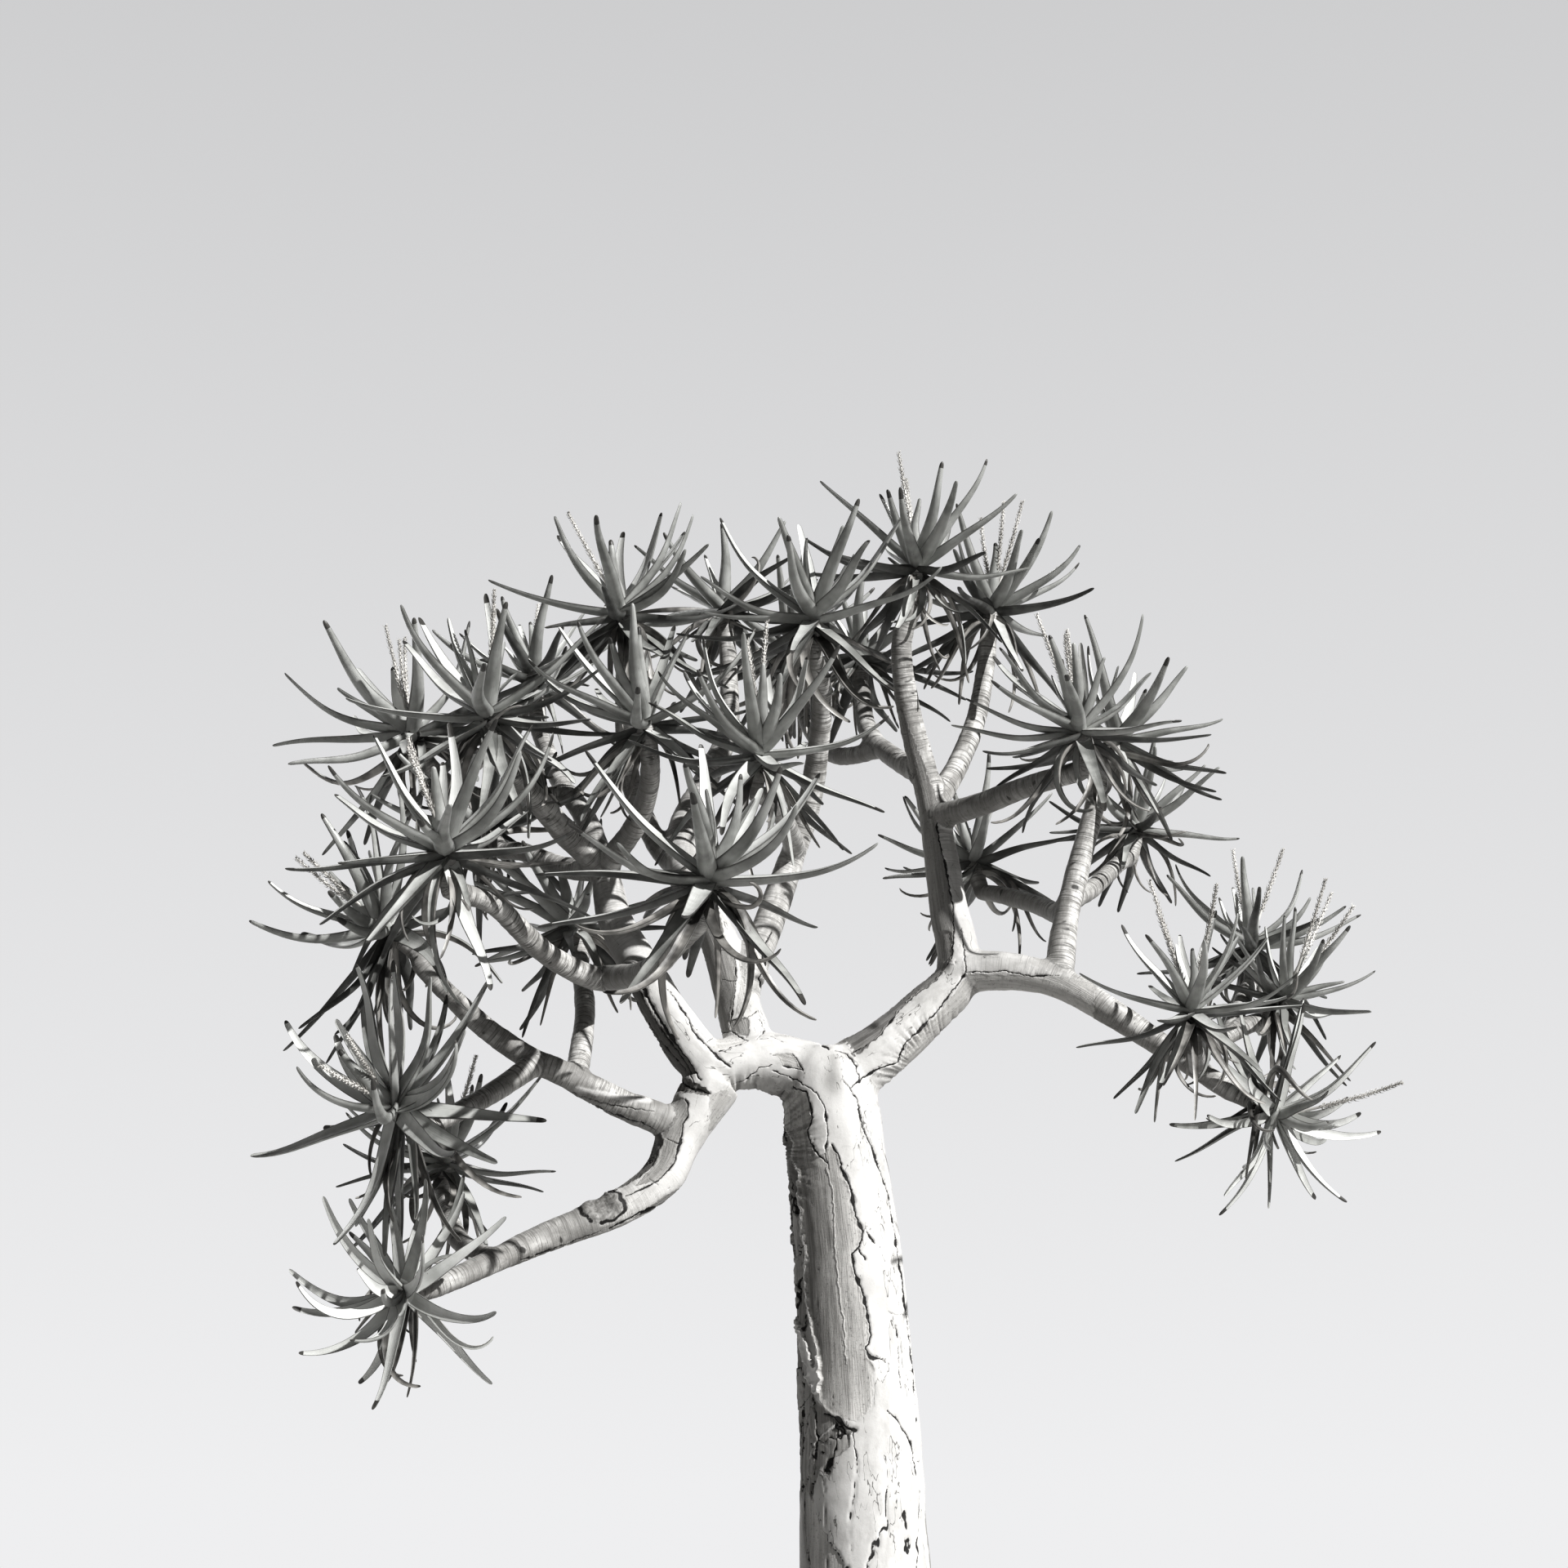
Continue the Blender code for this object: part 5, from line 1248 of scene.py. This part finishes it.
def leaf_path(root, heading, length, turn_up, curl):
    path = [root.copy()]
    heading = heading.normalized()
    sideways = heading.cross(UP)
    sideways = sideways.normalized() if sideways.length > 0.1 else Vector((1, 0, 0))
    for step in range(LEAF_STEPS):
        bend = (0.5 + (step + 0.5) / LEAF_STEPS) / LEAF_STEPS
        heading = (heading + UP * turn_up * bend + sideways * curl * bend).normalized()
        path.append(path[-1] + heading * length / LEAF_STEPS)
    return path


def rosette_frame(axis, phase):
    axis = Vector(axis).normalized()
    side = axis.cross(Vector((0, 1, 0.02))).normalized()
    side = Matrix.Rotation(math.radians(phase), 3, axis) @ side
    return axis, side, axis.cross(side)


def plan_leaf(rng, number, longest, curl_up):
    age = number / (LEAVES - 1)
    grown = INNER_LENGTH + (1 - INNER_LENGTH) * min(1.0, age / GROWN_AGE)
    return {
        "age": age,
        "turn": number * GOLDEN_ANGLE + rng.uniform(-0.12, 0.12),
        "polar": INNER_POLAR + (OUTER_POLAR - INNER_POLAR) * age ** POLAR_POWER + rng.uniform(-0.1, 0.1),
        "length": longest * grown * rng.uniform(0.86, 1.0),
        "turn_up": LEAF_LIFT * (1 - (age / DROOP_AGE) ** 3) + curl_up + rng.uniform(-0.22, 0.22),
        "curl": rng.uniform(-0.22, 0.22),
        "height": CORE_LENGTH * (TOP_LEAF_HEIGHT + (LOW_LEAF_HEIGHT - TOP_LEAF_HEIGHT) * age),
        "jitters": [[rng.uniform(-most, most) for most in (0.5, 0.4, 0.35)] for _ in range(TRIES)],
    }


def grow_leaf(plan, rosette, attempt):
    axis, side, normal = rosette["frame"]
    reach = attempt / TRIES
    swing, tilt, bend = (value * (0.3 + reach) if attempt else 0.0 for value in plan["jitters"][attempt])
    away = outward(side, normal, plan["turn"] + swing)
    heading = axis * math.cos(plan["polar"] + tilt) + away * math.sin(plan["polar"] + tilt)
    root = rosette["base"] + axis * plan["height"] + away * LEAF_ROOT_OFFSET
    length = plan["length"] * (1 - SHRINK_TO_FIT * reach)
    return leaf_path(root, heading, length, plan["turn_up"] + bend, plan["curl"]), axis.cross(away)


def place_leaf(plan, rosette, others, own_limb, own_leaves=None):
    """The first attempt at a leaf that is free, if there is one."""
    rooms = rooms_along(rosette["longest"])
    flat_rooms = [room * LEAF_THICKNESS_SHARE for room in rooms[LEAF_FREE_FROM:]]
    own_rooms = [room * OWN_ROOM_SHARE for room in rooms[OWN_LEAF_FROM:]]
    for attempt in range(TRIES):
        path, across = grow_leaf(plan, rosette, attempt)
        if (is_free(path, rooms, others) and is_free(path[LEAF_FREE_FROM:], flat_rooms, own_limb)
                and (own_leaves is None or is_free(path[OWN_LEAF_FROM:], own_rooms, own_leaves))):
            return [(path, across, rooms, plan["age"])]
    return []


def stalks_of(rng, rosette, count, others):
    axis, side, normal = rosette["frame"]
    stalks = []
    for _ in range(count):
        for _ in range(TRIES):
            away = outward(side, normal, rng.uniform(0, 2 * math.pi))
            heading = axis + away * rng.uniform(0.25, 0.5) + UP * 0.25
            root = rosette["base"] + axis * CORE_LENGTH * TOP_LEAF_HEIGHT
            path = leaf_path(root, heading, STALK_LENGTH * rng.uniform(0.9, 1.2), 0.15, 0.1)
            rooms = [STALK_RADIUS + LEAF_ROOM] * len(path)
            if is_free(path, rooms, others):
                stalks.append((path, rooms))
                break
    return stalks


def limbs_and_cores():
    space, tips = Space(), {}
    for limb in LIMBS:
        path = limb_path(limb, FINE_SPACING)
        space.add(path, [radius + LEAF_ROOM for radius in limb_radii(path, *limb[2:])], limb[0])
        tips[limb[0]] = (path[-1], limb[3])
    for name, axis, *_ in ROSETTES:
        base, radius = tips[name]
        core = [base + Vector(axis).normalized() * CORE_LENGTH * share for share, _ in CORE_PROFILE]
        space.add(core, [radius * CORE_PROFILE[1][1] + LEAF_ROOM] * len(core), "rosette_" + name)
    return space, tips


# The finer leaf: its cross-section, as shares of half the width and of the thickness, from one margin over
# the hollow upper face to the other and back under the keel
LEAF_SECTION = [(1.0, 0.3), (0.62, 0.16), (0.0, 0.0), (-0.62, 0.16), (-1.0, 0.3), (-0.92, -0.14),
    (-0.55, -0.54), (0.0, -0.74), (0.55, -0.54), (0.92, -0.14)]
LEAF_RINGS = 20
FINE_THICKNESS_SHARE = 0.46
LEAF_END_STATIONS = (0.962, 0.975, 0.986, 0.994, 0.998)
LEAF_END = 0.96
LEAF_END_WIDTH = 0.21
BASE_SHARE = 0.09
TIP_SHARES = (0.9, 0.985)
WITHERED_TIPS = 0.65
# How near each corner of the section is to the leaf's dark margin
UPPER_CORNERS, UPPER_MARGINS = (0, 1, 2, 3, 4), (1.0, 0.62, 0.0, 0.62, 1.0)
LOWER_CORNERS, LOWER_MARGINS = (4, 5, 6, 7, 8, 9, 0), (1.0, 0.8, 0.4, 0.0, 0.4, 0.8, 1.0)
# How far the finer leaf bows away from the source's middle line and curls at its end, as shares of its length
BOW, SIDE_BOW, END_CURL = (-0.035, 0.055), 0.035, (-0.05, 0.09)


def fine_half_width(share, length):
    """An even taper to a blunt round end, widest a quarter of the way along."""
    clasp = 0.8 + 0.2 * math.sin(0.5 * math.pi * min(1.0, share / 0.24))
    taper = 1 - (1 - LEAF_END_WIDTH) * share
    beyond = max(0.0, share - LEAF_END) / (1 - LEAF_END)
    return 0.5 * LEAF_WIDTH_SHARE * length * clasp * taper * math.sqrt(max(0.0, 1 - beyond * beyond))


def curved(path, across, rng):
    """The leaf's middle line with a slow bow of its own and a curl towards its end."""
    bow, side_bow = rng.uniform(*BOW), rng.uniform(-SIDE_BOW, SIDE_BOW)
    curl, side_curl = rng.uniform(*END_CURL), rng.uniform(-0.03, 0.03)
    length = LEAF_STEPS * (path[1] - path[0]).length
    places = []
    for index, (point, (_, side, upward)) in enumerate(zip(path, frames_along(path, across))):
        share = index / LEAF_STEPS
        hump = math.sin(math.pi * share) ** 2 * (1.3 - 0.6 * share)
        end = max(0.0, (share - 0.55) / 0.45) ** 2
        swung = upward * (curl * end - bow * hump) + side * (side_curl * end + side_bow * hump)
        places.append(point + length * swung)
    return places


class LeafLists(MeshLists):
    """Leaves of one kind, with each point's place across and along its own blade."""

    def __init__(self):
        super().__init__()
        self.blade, self.margin = [], []

    def add_strip(self, rings, places, margins, tip, tip_place):
        """An open strip of skin along a leaf, up to its tip where it has one."""
        end, steps = self.add_rows(rings, closed=False)
        self.margin.extend(margins * len(rings))
        self.blade.extend(place for row in places for place in row)
        if tip is not None:
            self.add_tip(end, steps, tip)
            self.blade.append(tip_place)
            self.margin.append(0.0)

    def mesh(self, name):
        mesh = super().mesh(name)
        add_field(mesh, "blade", self.blade)
        add_field(mesh, "margin", self.margin)
        return mesh


def add_leaf(above, below, path, across, length, low, high, spread=1.0, number=0):
    """The stretch of a leaf between two shares of its length: its upper skin and its lower one."""
    frames = frames_along(path, across)
    stations = [*[index / LEAF_RINGS for index in range(LEAF_RINGS)], *LEAF_END_STATIONS]
    left, under = number * 0.37, number * 0.11
    rings, places = [], []
    for share in sorted({low, high, *[share for share in stations if low < share < high]}):
        index = min(int(share * LEAF_STEPS), LEAF_STEPS - 1)
        part = share * LEAF_STEPS - index
        point = path[index].lerp(path[index + 1], part)
        side, upward = (before.lerp(after, part).normalized()
                        for before, after in zip(frames[index][1:], frames[index + 1][1:]))
        half = fine_half_width(share, length) * spread + 0.0004
        thickness = 2 * fine_half_width(share, length) * FINE_THICKNESS_SHARE + 0.0006
        rings.append([point + side * half * x + upward * thickness * y for x, y in LEAF_SECTION])
        places.append([(half * x + left, half * y + under, share * length) for x, y in LEAF_SECTION])
    tip, tip_place = path[-1] if high == 1.0 else None, (left, under, length)
    for skin, order, margins in ((above, UPPER_CORNERS, UPPER_MARGINS),
                                 (below, LOWER_CORNERS, LOWER_MARGINS)):
        strips = ([[row[corner] for corner in order] for row in rows] for rows in (rings, places))
        skin.add_strip(*strips, margins, tip, tip_place)


def kind_of_leaf(age, rng):
    if age < 0.3:
        return "leaf_young"
    if age > 0.8 and rng.random() < 0.75:
        return "leaf_old"
    return "leaf_old" if rng.random() < 0.15 else "leaf_grey_green"


# Leaves of the finer tree beyond the source's: the young ones between, and the dead ones that hang below
BETWEEN_LEAVES = 7
DEAD_LEAVES = 10
DEAD_KINDS = ("leaf_dry", "leaf_dry", "leaf_old")
# A rosette's own leaves are missed from this step on, and with this share of their room
OWN_LEAF_FROM = 7
OWN_ROOM_SHARE = 0.42


def grow_rosettes():
    """The leaves and stalks of each rosette, just as in the source."""
    space, tips = limbs_and_cores()
    rosettes = []
    for index, (limb, axis, phase, longest, curl_up, stalk_count, more_stalks) in enumerate(ROSETTES):
        rng = random.Random(SEED + index)
        rosette = {"name": "rosette_" + limb, "limb": limb, "base": tips[limb][0], "longest": longest,
                   "frame": rosette_frame(axis, phase), "curl_up": curl_up, "more_stalks": more_stalks,
                   "leaves": [], "dead": []}
        others, own_limb = space.around(rosette)
        for number in range(LEAVES):
            plan = plan_leaf(rng, number, longest, curl_up)
            rosette["leaves"] += place_leaf(plan, rosette, others, own_limb)
        stalks = stalks_of(rng, rosette, stalk_count, others)
        rosette["stalks"] = [path for path, _ in stalks]
        for path, rooms in [*[(path, rooms) for path, _, rooms, _ in rosette["leaves"]], *stalks]:
            space.add(path, rooms, rosette["name"])
        rosettes.append(rosette)
    return space, rosettes


def own_places(rosette):
    """Points along a rosette's leaves beyond the crowded part round its core, with the room of each."""
    points, rooms = [], []
    for path, _, leaf_rooms, _ in rosette["leaves"]:
        points.extend(tuple(point) for point in path[OWN_LEAF_FROM:])
        rooms.extend(room * OWN_ROOM_SHARE for room in leaf_rooms[OWN_LEAF_FROM:])
    return np.array(points), np.array(rooms)


def add_between_leaves(rosette, space, rng):
    """More leaves in the gaps of the spiral, where they find a free place."""
    others, own_limb = space.around(rosette)
    for number in range(BETWEEN_LEAVES):
        place = (number + 0.5) / BETWEEN_LEAVES * (LEAVES - 1)
        plan = plan_leaf(rng, place, rosette["longest"], rosette["curl_up"])
        plan["length"] *= 0.96
        for leaf in place_leaf(plan, rosette, others, own_limb, own_places(rosette)):
            rosette["leaves"].append(leaf)
            space.add(leaf[0], leaf[2], rosette["name"])


def hanging_path(root, heading, length, rng):
    """A dry leaf's middle line: it droops until it hangs, then curls round an axis of its own."""
    path = [root.copy()]
    heading = heading.normalized()
    droop = rng.uniform(0.06, 0.22)
    curl_axis = Vector((rng.uniform(-1, 1), rng.uniform(-1, 1), rng.uniform(-0.6, 0.6))).normalized()
    curl = rng.uniform(-0.2, 0.2)
    for step in range(LEAF_STEPS):
        share = (step + 0.5) / LEAF_STEPS
        heading = (heading - UP * droop * (1 - 0.7 * share)).normalized()
        heading = Matrix.Rotation(curl * (0.3 + 1.7 * share * share), 3, curl_axis) @ heading
        path.append(path[-1] + heading * length / LEAF_STEPS)
    return path


def add_dead_leaves(rosette, space, rng):
    """Dry leaves that hang and curl below a rosette."""
    axis, side, normal = rosette["frame"]
    others, own_limb = space.around(rosette)
    for _ in range(DEAD_LEAVES):
        for _ in range(TRIES):
            away = outward(side, normal, rng.uniform(0, 2 * math.pi))
            polar = math.radians(rng.uniform(75, 125))
            heading = axis * math.cos(polar) + away * math.sin(polar)
            root = rosette["base"] + axis * CORE_LENGTH * rng.uniform(0.2, 0.45) + away * 0.012
            length = rosette["longest"] * rng.uniform(0.5, 0.95)
            path = hanging_path(root, heading, length, rng)
            rooms = rooms_along(length, 0.5, 0.002)
            if is_free(path, rooms, others) and is_free(path[5:], rooms[5:], own_limb):
                rosette["dead"].append((path, axis.cross(away), length, rng.uniform(0.45, 0.8)))
                space.add(path, rooms, rosette["name"])
                break


def add_more_stalks(rosette, space, rng):
    others, _ = space.around(rosette)
    for path, rooms in stalks_of(rng, rosette, rosette["more_stalks"], others):
        rosette["stalks"].append(path)
        space.add(path, rooms, rosette["name"])


def build_foliage(materials):
    space, rosettes = grow_rosettes()
    kinds = {name: LeafLists() for name in LEAF_COLOURS}
    look = random.Random(SEED * 7)
    count = 0
    for rosette in rosettes:
        longest = rosette["longest"]
        add_between_leaves(rosette, space, look)
        add_dead_leaves(rosette, space, look)
        add_more_stalks(rosette, space, look)
        for path, across, _, age in rosette["leaves"]:
            count += 1
            path = curved(path, across, look)
            tip_share = look.uniform(*TIP_SHARES) if look.random() < WITHERED_TIPS else 1.0
            kind, tip = kinds[kind_of_leaf(age, look)], kinds["leaf_tip"]
            # The lower skin takes a darker colour: painted shade
            under = kinds["leaf_shaded_underside_old" if age > 0.6 else "leaf_shaded_underside"]
            add_leaf(kinds["leaf_base"], under, path, across, longest, 0.0, BASE_SHARE, number=count)
            add_leaf(kind, under, path, across, longest, BASE_SHARE, tip_share, number=count)
            if tip_share < 1.0:
                add_leaf(tip, tip, path, across, longest, tip_share, 1.0, number=count)
        for path, across, length, spread in rosette["dead"]:
            count += 1
            kind = kinds[look.choice(DEAD_KINDS)]
            add_leaf(kind, kinds["leaf_dry"], path, across, length, 0.0, 1.0, spread=spread, number=count)
        for path in rosette["stalks"]:
            add_stalk(kinds["stalk_dry"], path, look)
    nodes = ["rosette_" + rosette[0] for rosette in ROSETTES]
    for kind, lists in kinds.items():
        stands_for = nodes if kind == "leaf_grey_green" else ()
        new_piece(kind + "_pieces", lists.mesh(kind), materials[kind], stands_for)


BRISTLES = 110
BRISTLE_LENGTH = 0.019


def add_stalk(lists, path, rng):
    """A dry flower stalk with the short bristly stems of its fallen flowers."""
    radii = [STALK_RADIUS * (1.15 - 0.65 * index / LEAF_STEPS) for index in range(LEAF_STEPS + 1)]
    frames = frames_along(path)
    before = len(lists.points)
    lists.add_rings([ring(point, side, normal, radius, 6)
                     for point, radius, (_, side, normal) in zip(path, radii, frames)])
    for number in range(BRISTLES):
        share = 0.3 + 0.69 * number / BRISTLES
        index = int(share * LEAF_STEPS)
        tangent, side, normal = frames[index]
        away = outward(side, normal, number * GOLDEN_ANGLE)
        across = tangent.cross(away)
        start = path[index].lerp(path[min(index + 1, LEAF_STEPS)], share * LEAF_STEPS - index)
        length = BRISTLE_LENGTH * rng.uniform(0.6, 1.1) * (1.15 - share * 0.5)
        bend = start + (away * 0.75 + tangent * 0.5) * length * 0.5
        end = bend + (away * 0.35 + tangent * 0.95) * length * 0.5
        rings = [ring(start, tangent, across, 0.0013, 3), ring(bend, tangent, across, 0.0015, 3)]
        lists.add_rings(rings, tip=end)
    lists.blade.extend(tuple(point) for point in lists.points[before:])
    lists.margin.extend([0.0] * (len(lists.points) - before))


# Stage

# Far enough for every view, and yet below the photograph's lower edge
FLOOR_RADIUS = 14


def build_stage():
    mesh = bpy.data.meshes.new("floor")
    with editing(mesh) as shape:
        bmesh.ops.create_circle(shape, cap_ends=True, radius=FLOOR_RADIUS, segments=128)
    shader = Shader("floor", 0.9)
    cloud = shader.noise(shader.places, 1.5, 3)
    colour = shader.mix(cloud, (0.5, 0.497, 0.49), (0.54, 0.537, 0.53))
    mesh.materials.append(shader.finish(colour, cloud, 0.001))
    placed("floor", mesh)


def build_world():
    world = bpy.data.worlds.new("studio")
    bpy.context.scene.world = world
    world.use_nodes = True
    nodes, join = world.node_tree.nodes, world.node_tree.links.new
    background = nodes["Background"]
    parts, ramp, side, brighter = (nodes.new("ShaderNode" + kind)
                                   for kind in ("SeparateXYZ", "ValToRGB", "MapRange", "Math"))
    join(nodes.new("ShaderNodeTexCoord").outputs["Generated"], parts.inputs[0])
    join(parts.outputs["Z"], ramp.inputs["Fac"])
    stops = ((0.0, 0.885), (0.42, 0.675), (1.0, 0.4))
    ramp.color_ramp.elements.new(stops[1][0])
    for element, (place, value) in zip(ramp.color_ramp.elements, stops):
        element.position = place
        element.color = (value, value, value * 1.01, 1)
    join(ramp.outputs["Color"], background.inputs["Color"])
    join(parts.outputs["Y"], side.inputs["Value"])
    for name, number in (("From Min", 0.5), ("From Max", 0.86), ("To Min", 0.15), ("To Max", 1.0)):
        side.inputs[name].default_value = number
    # The backdrop that is seen is as pale on every side as behind the tree
    brighter.operation = "MAXIMUM"
    join(side.outputs["Result"], brighter.inputs[0])
    join(nodes.new("ShaderNodeLightPath").outputs["Is Camera Ray"], brighter.inputs[1])
    join(brighter.outputs["Value"], background.inputs["Strength"])


def add_sun(name, direction, spread, strength):
    data = bpy.data.lights.new(name, "SUN")
    data.angle = math.radians(spread)
    data.energy = strength
    placed(name, data).rotation_euler = (-Vector(direction)).to_track_quat("-Z", "Y").to_euler()


def build_camera():
    data = bpy.data.cameras.new("camera")
    data.lens = LENS
    data.sensor_width = SENSOR
    camera = placed("camera", data)
    camera.location = CAMERA_PLACE
    camera.rotation_euler = (math.pi / 2 + CAMERA_PITCH, 0, 0)
    bpy.context.scene.camera = camera


def main():
    bpy.context.scene.view_settings.view_transform = "Standard"
    bpy.context.scene.view_settings.gamma = PRINT_GAMMA
    build_camera()
    build_stage()
    build_world()
    add_sun("key", (0.72, -0.61, 0.62), 0.8, 6.4)
    add_sun("fill", (-0.35, 0.85, 0.4), 60, 1.2)
    materials = {"trunk_bark": bark_material("trunk_bark_finish", 0.72),
                 "branch_bark": bark_material("branch_bark_finish", 0.62)}
    for name in LEAF_COLOURS:
        materials[name] = leaf_material(name, 0.4)
    build_wood(materials)
    build_foliage(materials)


main()
